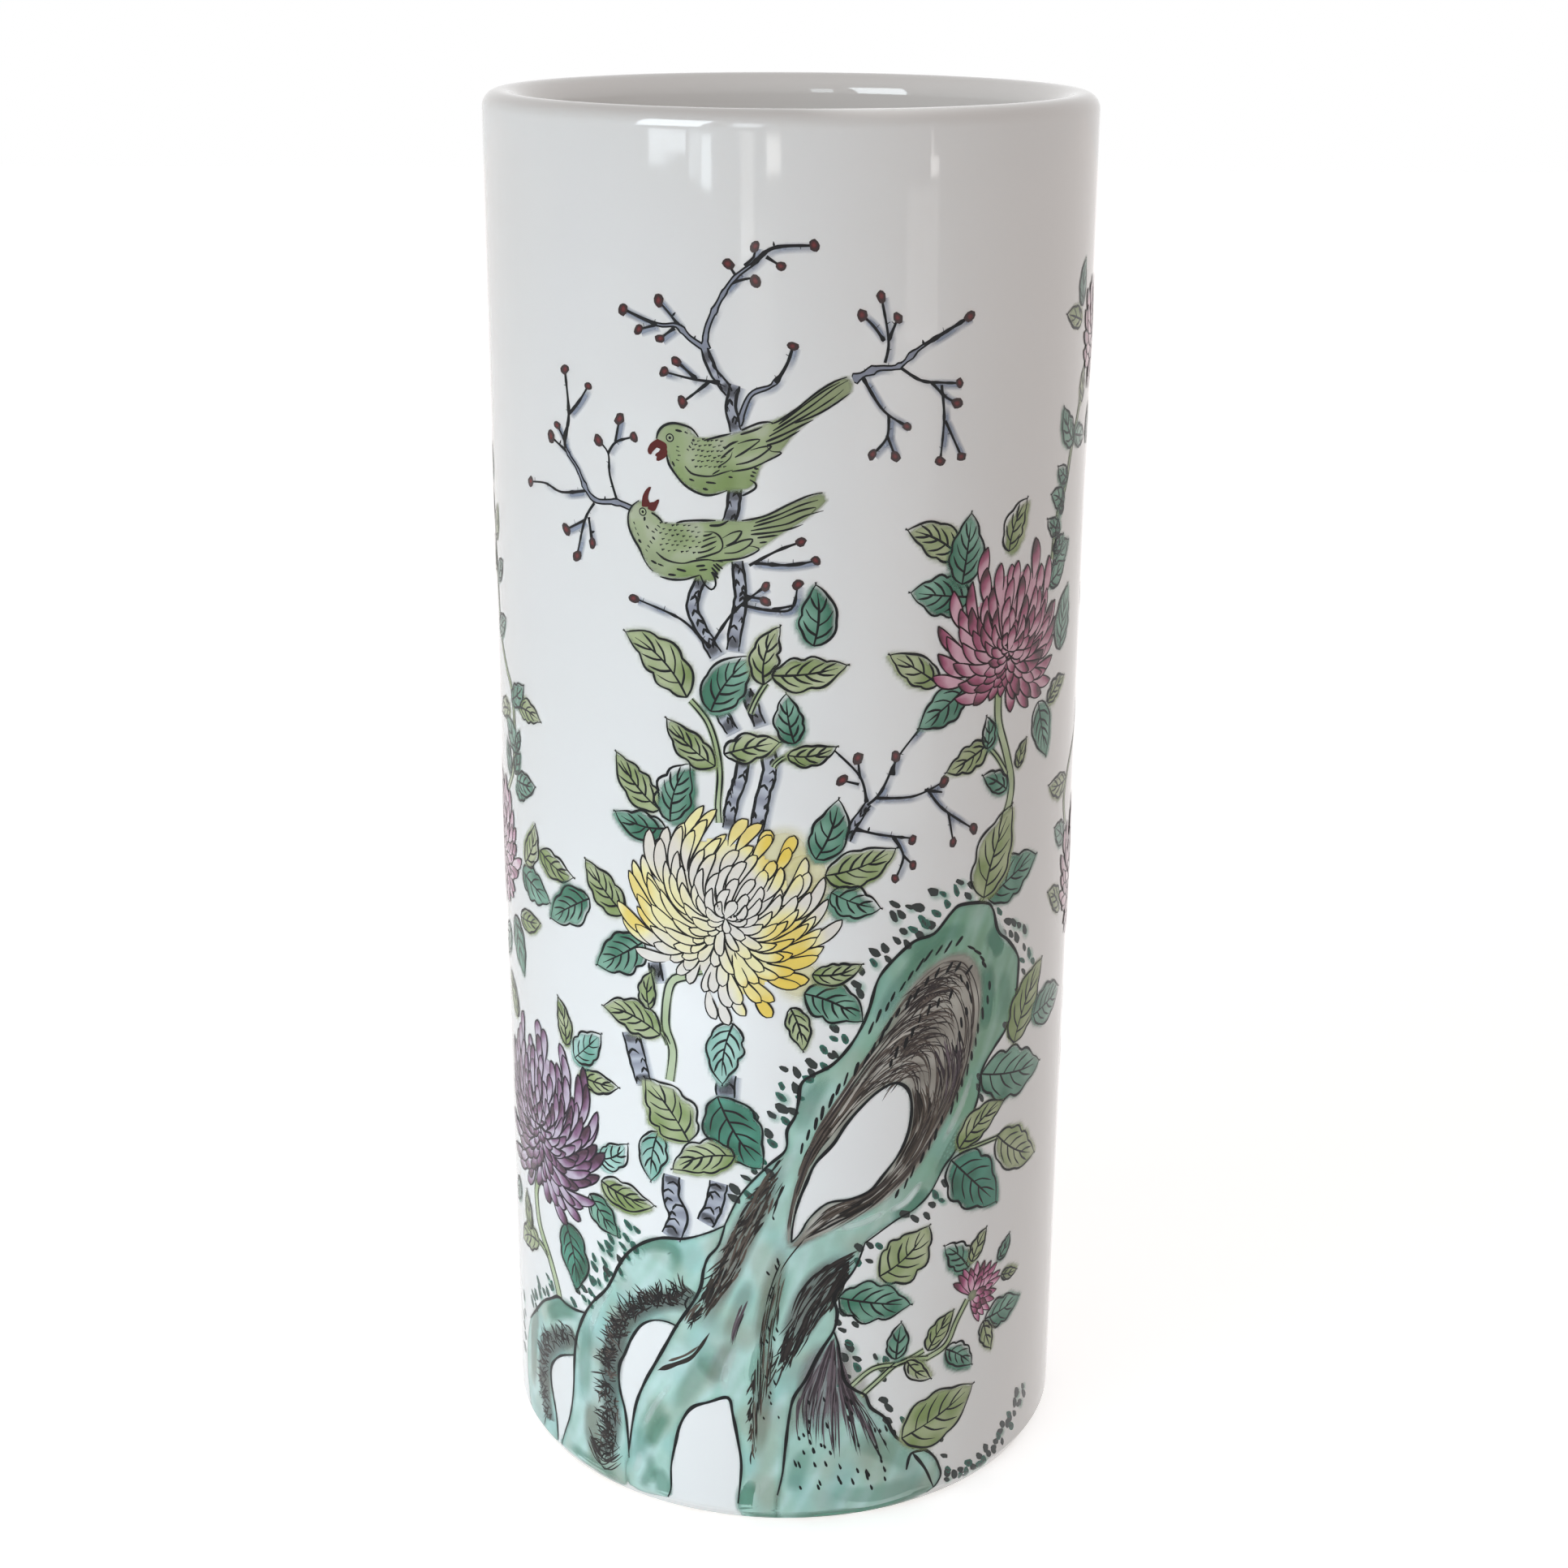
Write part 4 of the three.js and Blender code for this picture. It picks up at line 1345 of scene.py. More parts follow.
# Arched strokes in the top of the hollow, larger towards its upper end.
def archStrokes(sheet, low, high, count):
    for i in range(count):
        m = brush.random()
        wide = (5.5 + 2.0 * m) * brush.uniform(0.5, 1.1)
        tall = (4.5 + 2.0 * m) * brush.uniform(0.6, 1.1)
        middle = between(low, high, m)
        centre = (middle[0] + brush.uniform(-2.2, 2.2), middle[1] + brush.uniform(-1.5, 1.5))
        first = brush.uniform(2.2, 3.1)
        last = first - brush.uniform(1.2, 2.4)
        points = []
        for k in range(5):
            angle = first + (last - first) * k / 4
            points.append((centre[0] + wide * math.cos(angle) + 0.35 * tall * math.sin(angle),
                           centre[1] + tall * math.sin(angle)))
        stroke(sheet, points, rockLook["archLine"] * brush.uniform(0.7, 1.3),
               rockLook["archLift"] + 0.001 * (i % 8), brush.choice(rockLook["arch"]), 0.2, 0.1)


archStrokes(hatching, (24, 97), (31, 116), 120)
hatchAlong(hatching, holeSide[2:7], tickSide[2:7], 10, 0.4, 0.3, "ash", 1.5, rockLook["ashLift"])


# Short slanting marks along a path. The slants, in degrees, follow one another along it.
def ticks(sheet, points, count, length, slants):
    path = evenPath(points, count)
    for i in range(count + 1):
        degrees = float(np.interp(i / count, np.linspace(0, 1, len(slants)), slants)) + brush.uniform(-5, 5)
        direction = towards(degrees)
        half = length * brush.uniform(0.36, 0.56)
        spot = (path[i][0] + brush.uniform(-0.3, 0.3), path[i][1] + brush.uniform(-0.3, 0.3))
        stroke(sheet, [moved(spot, direction, half), moved(spot, direction, -half)], rockLook["tickLine"],
               rockLook["tickLift"], startShare=0.5, endShare=0.3)


# Rows of ticks round the hollow: path, count, length, slants.
tickRows = [
    ([(3.5, 87.5), (5.9, 93), (9.4, 98), (11, 101), (15.2, 105), (19.3, 111), (22.5, 115), (26, 118),
      (30, 121.5), (33.5, 122.5), (36, 122), (38.5, 120.5)], 19, 3.0, (84, 76, 70, 66, 62, 45)),
    ([(17, 112.5), (19, 115.5), (22.3, 119.5), (25.8, 123.3), (29.3, 126), (33.5, 127), (36, 127.3)],
     10, 2.8, (70, 60, 45)),
    ([(39.3, 125.3), (41.2, 123.8), (43, 120.5)], 3, 2.4, (-30, -55)),
    ([(44.5, 115.5), (43.8, 112), (42, 107.5), (41, 103), (39.5, 100.5), (38.3, 97.5), (35.8, 92), (32.5, 89),
      (31, 85.5), (28.8, 83), (25.3, 78), (22.7, 75.3)], 16, 2.8, (100, 84, 66)),
    ([(21, 104), (24, 108.5), (27.8, 113), (31, 115), (34, 116.5)], 7, 2.6, (78, 74)),
    ([(36.5, 119), (38.7, 117), (39, 112.8), (37.5, 110.5), (36, 104)], 6, 2.4, (110, 95)),
]
for row in tickRows:
    ticks(lines, *row)

# Brown and black streaks on the legs of the rock: two sides, count, reach, width, tints.
streaks = [
    ([(0.2, 87), (-5, 79.5), (-9.5, 71.5), (-12, 64), (-16, 54), (-18.5, 47)],
     [(0.4, 80), (-2.5, 72), (-6, 66), (-10, 58), (-14, 51.5), (-17, 46)], 95, 0.18, 0.42, "brown"),
    ([(2.5, 69), (-2, 62), (-5, 50), (-6, 40), (-6.5, 28), (-6, 17)],
     [(5, 66), (0.5, 58), (-1.5, 48), (-2.5, 38), (-3.5, 28), (-5, 19)], 45, 0.22, 0.28, "brown"),
    ([(15.5, 64.5), (8, 61), (3, 55), (0.5, 47), (-2, 38)],
     [(14.5, 60.5), (11, 54), (7.5, 49), (4, 43), (0, 36)], 95, 0.3, 0.36, "black"),
    ([(13, 62), (10, 57), (7.5, 52)], [(13.5, 60), (11.5, 55), (9, 50)], 30, 0.6, 0.5, "black"),
    ([(9.8, 45.5), (5, 36), (2.5, 29), (3, 20)], [(10.4, 44), (11, 34), (11.5, 25), (12, 15)],
     62, 0.62, 0.32, "grey"),
    ([(10.4, 44), (11, 35), (12, 28), (14, 16)], [(10.8, 42), (14.5, 31), (18, 25), (23, 14)],
     48, 0.6, 0.32, "grey"),
    ([(-7.5, 55), (-10, 48), (-11.5, 41)], [(-7, 52), (-9, 47), (-10, 43)], 6, 0.8, 0.4, "grey"),
]
# Soft shades under the streaks: path, width, height above the wall, tint, strength, softness.
shades = [
    ([(0, 84), (-5, 75), (-9.5, 65), (-14, 53), (-17, 45)], 3.6, 0.0395, paint("7A6C62"), 0.6, 1.6),
    ([(13.5, 62.5), (8, 58), (4, 50), (0.5, 42)], 5.4, 0.0405, paint("625857"), 0.55, 1.6),
    ([(9.8, 44), (8, 34), (8.5, 22)], 7.5, 0.0415, paint("8B8A8E"), 0.6, 2.2),
]
# Fur along the legs: core, count, depth, reach, lean, wildness, width, tints, curl.
legFur = [
    ([(-1, 83), (-6, 75), (-10.5, 66), (-15, 55), (-18, 48)], 80, 0.9, 5.4, 1.36, 0.18, 0.36, "brown", 0.3),
    ([(4, 52), (1.5, 45), (-1, 37)], 34, 1.6, 5.0, 1.42, 0.2, 0.3, "black", 0.3),
    ([(-6, 38), (-6.5, 28), (-6, 16)], 24, 0.5, 3.6, 1.38, 0.2, 0.3, "brown", 0.3),
]
# Two long strokes over the arch: path, width, which brown.
seams = [
    ([(-27, 33.4), (-23, 35.8), (-19, 38.6), (-15.4, 44.6)], 1.1, 0),
    ([(-24.5, 36.2), (-20.5, 38.6), (-17.5, 41.4)], 0.5, 2),
]
for row in shades:
    softStroke(wash, *row)
for row in streaks:
    hatchAlong(hatching, *row)
for row in legFur:
    fur(hatching, *row)
for path, width, brown in seams:
    stroke(lines, path, width, rockLook["seamLift"], rockLook["brown"][brown], 0.15, 0.1)

# The dark cores of the furry edges, each with its width and tint, and their fur.
archCore = [(-19.3, 54), (-21.5, 51), (-26, 49.8), (-30.5, 47.2), (-34.5, 43), (-37.2, 37), (-38.8, 31),
            (-39.2, 25), (-38.8, 18), (-39.6, 12), (-41.5, 8)]
smallCore = [(-49.6, 33), (-54, 30.5), (-58.5, 27.5), (-62, 23), (-63, 15), (-61, 7)]
furred = [(archCore, 3.2, paint("45443F", 0.55)), (smallCore, 4.0, paint("4A4A45", 0.55))]
coreFur = [
    (archCore, 210, 1.5, 4.6, 0.0, 0.7, 0.34, "black"), (archCore, 100, 1.5, 4.0, 1.3, 0.5, 0.36, "black"),
    (archCore[4:], 60, 2.4, 3.8, 0.3, 1.2, 0.34, "arch"), (smallCore, 140, 1.8, 4.0, 0.2, 0.8, 0.32, "black"),
]
for core, width, tint in furred:
    ribbon(wash, smoothPath(core), lambda t: width * (0.55 + 0.45 * math.sin(math.pi * t)),
           rockLook["coreLift"], lambda t: tint, 1.8)
for row in coreFur:
    fur(hatching, *row)
# Sagging strokes at the foot of the arch.
for i in range(10):
    low = brush.uniform(4.8, 11)
    left, right = brush.uniform(-46.5, -44), brush.uniform(-38.5, -36)
    stroke(hatching, [(left, low + 3.5), (left + 2.5, low), (right - 3, low - 0.3), (right, low + 2.5)], 0.32,
           rockLook["footLift"], rockLook["arch"][0])

# Fields of dots: lowest corner, highest corner, count, size.
dots = [((2, 7), (24, 22), 38, 0.5), ((-4.5, 25), (-1, 72), 20, 0.4), ((5, 22), (16, 30), 10, 0.5)]
for low, high, count, size in dots:
    for i in range(count):
        spot = (brush.uniform(low[0], high[0]), brush.uniform(low[1], high[1]))
        disc(lines, spot, (size * brush.uniform(0.8, 1.5), size * 0.55), 1.9, rockLook["tickLift"], ink,
             pointed=0.8, sides=7, rough=0.15)
layPiece(wash, "rock_washes", washEnamel)
layPiece(hatching, "rock_hatching", lineEnamel)
layPiece(lines, "rock_lines", lineEnamel)

mossLook = {
    "dark": paint("0E1C19"), "green": paint("1C6353"), "halo": paint("6FB39B", 0.6),
    "haloEdge": paint("6FB39B", 0.0), "haloShift": (0.5, -0.5), "haloLift": 0.02, "lift": 0.04,
    "gap": 2.0,  # the least distance from one dot to the next
}


def mossDot(lines, wash, spot, turn, size):
    look = mossLook
    if brush.random() < 0.35:
        disc(wash, moved(spot, look["haloShift"], 1.0), (size * 1.7, size * 1.3), turn, look["haloLift"],
             look["halo"], look["haloEdge"], sides=12)
    green = brush.random() < 0.3 + 0.5 * smoothStep(5, -35, spot[0])
    disc(lines, spot, (size, size * brush.uniform(0.5, 0.75)), turn, look["lift"], look["dark"],
         look["green"] if green else look["dark"], pointed=0.4, sides=9, rough=0.16)


# Moss along the rocks and on the ground: path, count, spread.
mossRows = [
    ([(-7, 92), (1, 97), (1, 102.5), (8, 106.5), (11.5, 112)], 24, 2.4),
    ([(15, 121), (17, 127), (23, 131), (30, 133)], 16, 2.6), ([(20, 134), (29, 137.5), (38, 137.5)], 12, 2.6),
    ([(47, 131.5), (52, 127), (56, 121), (57, 115), (55, 109), (51, 102.5)], 22, 2.6),
    ([(43, 96), (45, 91)], 4, 1.5), ([(25, 69), (31, 70.5), (35, 74)], 7, 1.8),
    ([(15, 61), (18, 65)], 5, 1.8), ([(11, 51), (13, 45), (14, 38), (12.5, 33.5)], 11, 1.8),
    ([(19, 41), (21, 29), (24, 22), (31, 16), (36, 11)], 14, 2.2),
    ([(36, 6), (42, 4), (50, 6), (58, 11), (62, 15)], 34, 2.2),
    ([(-50, 42), (-44.5, 43.5), (-41, 49), (-37, 55), (-33, 61)], 15, 1.8),
    ([(-44, 52), (-40, 56), (-33, 66)], 12, 2.2), ([(-49, 44), (-46, 47), (-43, 50)], 5, 1.6),
    ([(-71, 31), (-66, 35.5), (-61, 39), (-58, 42)], 12, 2.0), ([(-75, 30), (-76, 22), (-77, 14)], 8, 2.0),
    ([(-10, 79), (-8, 75), (-4, 86), (-2, 90)], 10, 2.0),
]
lines, wash = newSheet(), newSheet()
placed = []
for points, count, spread in mossRows:
    path = evenPath(points, 40)
    for i in range(count):
        near = pointAt(path, (i + 0.5) / count)
        for attempt in range(8):
            spot = (near[0] + brush.uniform(-spread, spread), near[1] + brush.uniform(-spread, spread) * 0.8)
            if all(math.dist(spot, other) > mossLook["gap"] for other in placed):
                break
        placed.append(spot)
        mossDot(lines, wash, spot, brush.uniform(1.9, 2.7), brush.uniform(0.85, 1.35))
layPiece(lines, "moss_dots", petalEnamel)
layPiece(wash, "moss_washes", washEnamel)
print("rocks painted")

# The two small birds: a wash, an outline in a few strokes, quills, short dashes of down, a ringed
# eye and an open beak.
birdLook = {
    "back": paint("99A97C"), "belly": paint("7A9154"), "pale": paint("A8B194"), "tail": paint("8A966C"),
    "beak": paint("571613"), "alpha": 0.97, "dash": 0.42, "beakLine": 0.3,
    # Strokes of each kind: their width, height above the wall, and share of the width left at the end.
    "strokes": {"outline": (0.44, 0.087, 0.5), "quills": (0.38, 0.089, 0.3), "dashes": (0.42, 0.087, 0.4)},
    # Rings of the eye: radius, tint, height above the wall.
    "eye": [(0.82, ink, 0.088), (0.58, paint("9AA583"), 0.091), (0.28, ink, 0.094)],
    "downColumns": 7, "downRows": 6, "washLift": 0.075, "downLift": 0.087, "beakLift": 0.092,
    "beakLineLift": 0.095,
}


def birdTint(bird):
    def tintAt(s, z, depth):
        look = birdLook
        cloud = cloudy(s * 0.2, z * 0.25, 7)
        low = 1 - smoothStep(0, 6, z - bird["bellyHeight"])
        worn = smoothStep(0.05, 0.4, -cloud) * (1 - low) + 0.5 * smoothStep(-20, -25, s)
        tint = mixed(look["back"], look["belly"], 0.1 + 0.75 * low + 0.8 * cloud)
        tint = mixed(tint, look["pale"], worn)
        tint = mixed(tint, look["tail"], 0.8 * smoothStep(-7, 2, s))
        return (*tint[:3], look["alpha"])
    return tintAt


upperBird = {
    "body": [(-24.9, 227.6), (-24.3, 229.3), (-22.8, 230.6), (-20.8, 230.9), (-18.6, 230.4), (-16.8, 228.6),
             (-13.5, 228.8), (-9, 229.8), (-3.6, 231.8), (1, 234), (5, 237.2), (10.3, 239.8), (11.2, 237.2),
             (7, 234.4), (1.5, 230.2), (-1.6, 226.3), (-5, 223.8), (-6, 220.6), (-8.2, 219.2), (-11.5, 219),
             (-15.3, 218), (-19.5, 219.8), (-21.4, 221.8), (-22.8, 225)],
    "outline": [
        [(-24.8, 227.7), (-24.4, 229), (-23.3, 230.2), (-21.5, 230.8), (-19.5, 230.6), (-17.8, 230),
         (-16.6, 228.6)],
        [(-15.6, 228), (-13, 228.8), (-10.5, 229.5)],
        [(-8.6, 230.2), (-5.6, 231.5), (-3.6, 231.8), (-2.9, 231.6)],
        [(-3.2, 231.5), (-1.9, 232), (1, 234), (5, 237.2), (8, 239), (10.3, 239.8)],
        [(-22.8, 225), (-22.3, 223.2), (-21, 221.4), (-19.5, 219.8), (-17.5, 218.6), (-15.3, 218),
         (-13.2, 218.3), (-11.2, 219.1)],
        [(-8.5, 218.2), (-7, 219), (-6, 219.8), (-6.1, 220.6), (-7.1, 221.2)],
    ],
    "quills": [
        [(-19.2, 223.1), (-18, 221.9), (-16, 221.5), (-14, 221.6), (-12, 222.3), (-10.2, 222.9)],
        [(-10.4, 222.6), (-7, 223.3), (-4, 224.7), (-1.4, 226.2), (-3.2, 226.5), (-4, 227.3)],
        [(-9.6, 223.9), (-7.5, 224.4), (-5.2, 225.6), (-3.2, 227.4), (-5, 227.2), (-7, 226.6)],
        [(-9.8, 225.2), (-8, 226.3), (-6, 227.8), (-5.3, 228.6), (-7.2, 228.4), (-9.3, 227.7)],
        [(-13, 223.3), (-11.6, 224.2), (-10.6, 225.2), (-10.3, 226.2)],
        [(-12.4, 224.9), (-11.2, 226), (-10, 227)],
        [(-14, 221.9), (-12.6, 222.8)], [(-11.8, 226.6), (-10.6, 227.6), (-9.2, 228.2)],
        [(-2.9, 230.2), (0.5, 232.4), (4, 234.8), (8, 237.8), (10.5, 239.2)],
        [(-1.9, 231.4), (2, 234.4), (6, 237.3), (9, 238.9)],
        [(-3.6, 229.2), (0, 231.3), (4, 233.6), (8, 236.2), (9.7, 237.6)],
        [(1, 231.6), (5, 233.2), (8, 234.9), (10.9, 236.9)],
        [(-4.2, 228.2), (-1, 229.6), (3, 231.6), (4.3, 232.2)], [(-4, 227.6), (-1.5, 228.4), (1.9, 230.3)],
        [(-8.8, 229.4), (-6.4, 230.2), (-4.8, 230.9)],
    ],
    "dashes": [
        ((-18.4, 220.8), (-17.4, 220.5)), ((-15.2, 220.4), (-13.3, 220.3)), ((-15.8, 219.2), (-14.8, 219)),
        ((-21, 229.6), (-19.7, 229.4)), ((-19.2, 229.4), (-18.6, 229.1)), ((-6.3, 223.3), (-5.5, 223.2)),
        ((-6.7, 222.7), (-5.9, 222.4)), ((-7, 222), (-6.2, 221.8)), ((-20.8, 226.6), (-20.3, 226.5)),
        ((-20.9, 225.9), (-20.2, 225.7)), ((-20.6, 225), (-20, 225)), ((-20.9, 224.2), (-20.3, 224)),
        ((-21.7, 223.8), (-21.2, 222.9)), ((-17.6, 228.2), (-17.4, 227.7)), ((-17.9, 227.6), (-17.6, 227.1)),
        ((-18.4, 226.9), (-18, 226.5)), ((-18.8, 226.3), (-18.4, 226)), ((-11, 221.6), (-10.2, 221.5)),
    ],
    "bellyHeight": 219.5,
    "down": ((-17.8, 228), (-11.5, 222.2)),
    "eye": (-22.1, 228.1),
    "beak": [
        [(-24.6, 227.6), (-25.9, 226.6), (-26.5, 225.3), (-26, 224.8), (-25.5, 225.7), (-24.7, 226.2),
         (-23.7, 226.2), (-23, 225.6), (-22.9, 226.8)],
        [(-23.8, 226), (-24.2, 225.3), (-25, 224.7), (-24.6, 224.5), (-24.7, 223.8), (-24, 224), (-23, 224.7),
         (-22.8, 225.8)],
    ],
}
lowerBird = {
    "body": [(-30.9, 213.2), (-29.9, 214.9), (-28.4, 216), (-26.6, 215.2), (-25, 213.8), (-23.6, 212.3),
             (-20, 212.6), (-13.4, 213.4), (-8, 213.6), (-3.6, 214.9), (0, 216.8), (6.1, 218.9),
             (6.9, 217.4), (3.4, 214.2), (-1, 211.4), (-5.4, 208.3), (-9, 206.5), (-12.4, 204.6),
             (-13.4, 202.2), (-14.8, 201.8), (-18, 202.4), (-21.6, 201.8), (-25.6, 202.7), (-28, 205.6),
             (-30.2, 209.2), (-31, 211.4)],
    "outline": [
        [(-28.6, 215.9), (-30, 214.8), (-30.9, 213.2), (-30.9, 211), (-30, 208.9), (-28.6, 206.9),
         (-27.7, 205), (-26.7, 203.6), (-25.8, 202.9)],
        [(-24.4, 202), (-22, 201.7), (-19.5, 201.9), (-17.8, 202.5), (-16.5, 203)],
        [(-26, 213.9), (-24.8, 213.3), (-23.7, 212.3)],
        [(-21, 212.4), (-19.5, 212.9), (-17, 213.2), (-13.4, 213.4)],
        [(-14.6, 212.4), (-12.6, 212.6), (-11, 213.5)],
        [(-8.6, 213.6), (-6, 214.1), (-3.6, 214.9), (0, 216.8), (3.6, 218.4), (6.1, 218.9)],
        [(-16.4, 203), (-15.6, 201.4), (-14.3, 200.4), (-13.5, 201.2), (-13.6, 202.6), (-14.3, 203.7)],
    ],
    "quills": [
        [(-25.1, 206.6), (-23.5, 205.5), (-21.5, 205), (-19.5, 205), (-17.5, 205.6), (-15, 206),
         (-12, 205.7)],
        [(-14, 205.8), (-11, 206.2), (-8, 206.8), (-5.4, 208.3), (-6.5, 208.9), (-7.6, 208.9)],
        [(-11.8, 207.4), (-9.5, 207.7), (-7.3, 209), (-6.6, 210.2), (-8.5, 209.9), (-10.5, 209),
         (-12, 208.3)],
        [(-11.5, 208.8), (-9.7, 209.8), (-8.6, 211.6), (-10.3, 211.3), (-12.2, 210.2)],
        [(-17.2, 206), (-14.8, 206.8), (-12.6, 207.8), (-12.1, 209), (-12.6, 210.4), (-13.8, 211.2),
         (-15.6, 211.2)],
        [(-16.6, 207.2), (-14.9, 207.7), (-13.4, 208.6)], [(-16.2, 208.2), (-14.7, 208.9), (-13.2, 209.6)],
        [(-15.9, 209.4), (-14.6, 210), (-13.3, 210.4)], [(-15.8, 210.4), (-14.9, 210.6), (-14, 211)],
        [(-6.1, 213.3), (-2, 214.8), (2, 216.6), (5.3, 217.6)],
        [(-6.4, 212.6), (-2, 214), (2, 215.6), (4.9, 216.2), (4.1, 215.2)],
        [(-6.9, 211.8), (-3, 212.6), (0, 213.3), (3, 214.7), (6.3, 215.6)],
        [(-6.9, 211.1), (-3, 211.6), (0, 212.2), (2.6, 213.1)], [(-5.7, 210.5), (-3.8, 210.8), (-2, 211.1)],
        [(-5.3, 209.6), (-3.9, 209.8)],
    ],
    "dashes": [
        ((-26.2, 204.9), (-25, 204.4)), ((-24.8, 204.4), (-23.6, 204.1)), ((-21, 203.8), (-19.1, 203.5)),
        ((-22.7, 202.6), (-21.1, 202.6)), ((-17.2, 204.6), (-15.4, 204.9)), ((-16.6, 203.9), (-15, 204.2)),
        ((-24.8, 211.7), (-24.2, 211.3)), ((-25.3, 211), (-24.8, 210.6)), ((-26, 210.5), (-25.3, 210.2)),
        ((-27.1, 211.4), (-26.6, 210.8)), ((-25.9, 209.4), (-25.3, 208.9)), ((-26.4, 208.6), (-25.9, 208.1)),
        ((-26.9, 207.7), (-26.4, 207.3)), ((-27.3, 206.9), (-26.9, 206.5)), ((-29.8, 211.8), (-29.5, 211.3)),
        ((-29.5, 210.8), (-29.2, 210.3)), ((-29, 209.8), (-28.7, 209.3)), ((-28.8, 208.6), (-28.2, 208)),
        ((-13.9, 205.2), (-12.6, 204)), ((-13.4, 205.4), (-12.1, 204.4)), ((-14.2, 204.6), (-13, 203.3)),
        ((-14.1, 203.8), (-12.9, 202.6)), ((-27.4, 213), (-27.5, 212.2)),
    ],
    "bellyHeight": 202.5,
    "down": ((-24.4, 212), (-16.2, 206.2)),
    "eye": (-27.8, 213.9),
    "beak": [
        [(-27.9, 214.9), (-27.6, 216.8), (-26.8, 218.2), (-26.1, 218.6), (-26.5, 217.7), (-26.8, 216.4),
         (-26.3, 215.2)],
        [(-26.7, 214.6), (-26.2, 215.6), (-25.4, 215.8), (-24.5, 216.4), (-24.9, 215.2), (-25.5, 214.3)],
    ],
}


def paintBird(wash, lines, bird):
    look = birdLook
    regionWash(wash, bird["body"], [], look["washLift"], birdTint(bird), 0.6, 0.8)
    for kind, (width, lift, endShare) in look["strokes"].items():
        for path in bird[kind]:
            stroke(lines, path, width, lift, startShare=0.6, endShare=endShare, spacing=0.5)
    low, high = bird["down"]
    columns, rows = look["downColumns"], look["downRows"]
    for i in range(columns):
        for j in range(rows):
            spot = (low[0] + (high[0] - low[0]) * (i + 0.5 * (j % 2) + brush.uniform(-0.15, 0.15)) / columns,
                    low[1] + (high[1] - low[1]) * (j + brush.uniform(-0.2, 0.2)) / rows)
            stroke(lines, [spot, moved(spot, (0.6, 0.2), 1.0)], look["dash"], look["downLift"],
                   startShare=0.8, spacing=0.5)
    for outline in bird["beak"]:
        middle = tuple(sum(side) / len(outline) for side in zip(*outline))
        centre = addPoint(lines, middle, look["beakLift"], look["beak"])
        rim = [addPoint(lines, spot, look["beakLift"], look["beak"]) for spot in outline]
        for i in range(len(rim)):
            addFace(lines, [centre, rim[i], rim[(i + 1) % len(rim)]])
        stroke(lines, outline + outline[:1], look["beakLine"], look["beakLineLift"], look["beak"],
               0.8, 0.8, 0.4)
    for size, tint, lift in look["eye"]:
        disc(lines, bird["eye"], (size, size), 0, lift, tint, sides=14)


wash, lines = newSheet(), newSheet()
for bird in (upperBird, lowerBird):
    paintBird(wash, lines, bird)
layPiece(wash, "bird_washes", washEnamel)
layPiece(lines, "bird_lines", lineEnamel)
print("birds painted")

# Leaves of the sprays that run on round both sides of the vase.
sideLeaves = [
    (88.5, 161.5, 98, 163, "G"), (94.5, 174, 103, 181, "Y"), (96.8, 182, 90, 188.5, "G"),
    (97, 187, 105, 193, "G"), (95.5, 198, 103, 206, "Y"), (92, 208, 100, 214, "G"),
    (88.5, 219, 97, 225, "Y"), (93, 112, 101.5, 109.5, "Y"), (95.8, 101, 89.5, 94, "G"),
    (95.8, 98, 104, 93, "G"), (94, 88, 92, 78.5, "Y"),
    (-82, 193, -90.5, 198, "Y"), (-84.5, 203.5, -93, 209.5, "G"), (-86, 210, -88, 219, "G"),
]
wash, lines = newSheet(), newSheet()
for order, (baseS, baseZ, tipS, tipZ, kind) in enumerate(sideLeaves):
    leaf(wash, lines, (baseS, baseZ), (tipS, tipZ), kind, order)
layPiece(wash, "side_leaf_washes", washEnamel)
layPiece(lines, "side_leaf_lines", lineEnamel)

# The table, the light and the camera.
view = {"place": (0, -0.5138, 0.3170), "lens": 58.55, "sensor": 36, "pitch": 18.71, "yaw": 0.08, "roll": 0.28}
studio = {
    "floorColour": (0.88, 0.88, 0.88, 1),
    "floorRoughness": 0.9,
    "floorReach": 3,     # metres from the middle to each side
    "floorGlow": 0.6,
    "horizonLight": (0.77, 0.68, 0.635, 1),
    "zenithLight": (0.33, 0.32, 0.32, 1),
}


# One for every ray that sees the background itself: camera, mirror and glass rays.
def backgroundRays(nodes, links):
    path = nodes.new("ShaderNodeLightPath")
    either = mathFrom(nodes, links, "MAXIMUM", path.outputs["Is Camera Ray"], path.outputs["Is Glossy Ray"])
    return mathFrom(nodes, links, "MAXIMUM", either, path.outputs["Is Transmission Ray"])


def makeFloor():
    form = bmesh.new()
    bmesh.ops.create_grid(form, x_segments=1, y_segments=1, size=studio["floorReach"])
    mesh = bpy.data.meshes.new("table_top")
    form.to_mesh(mesh)
    form.free()
    floor = bpy.data.objects.new("table_top", mesh)
    bpy.context.scene.collection.objects.link(floor)
    material, nodes, links, shader = newMaterial("table_paper")
    shader.inputs["Base Color"].default_value = studio["floorColour"]
    shader.inputs["Roughness"].default_value = studio["floorRoughness"]
    shader.inputs["Emission Color"].default_value = (1, 1, 1, 1)
    glow = mathFrom(nodes, links, "MULTIPLY", backgroundRays(nodes, links), studio["floorGlow"])
    links.new(glow, shader.inputs["Emission Strength"])
    mesh.materials.append(material)
    floor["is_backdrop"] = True


makeFloor()


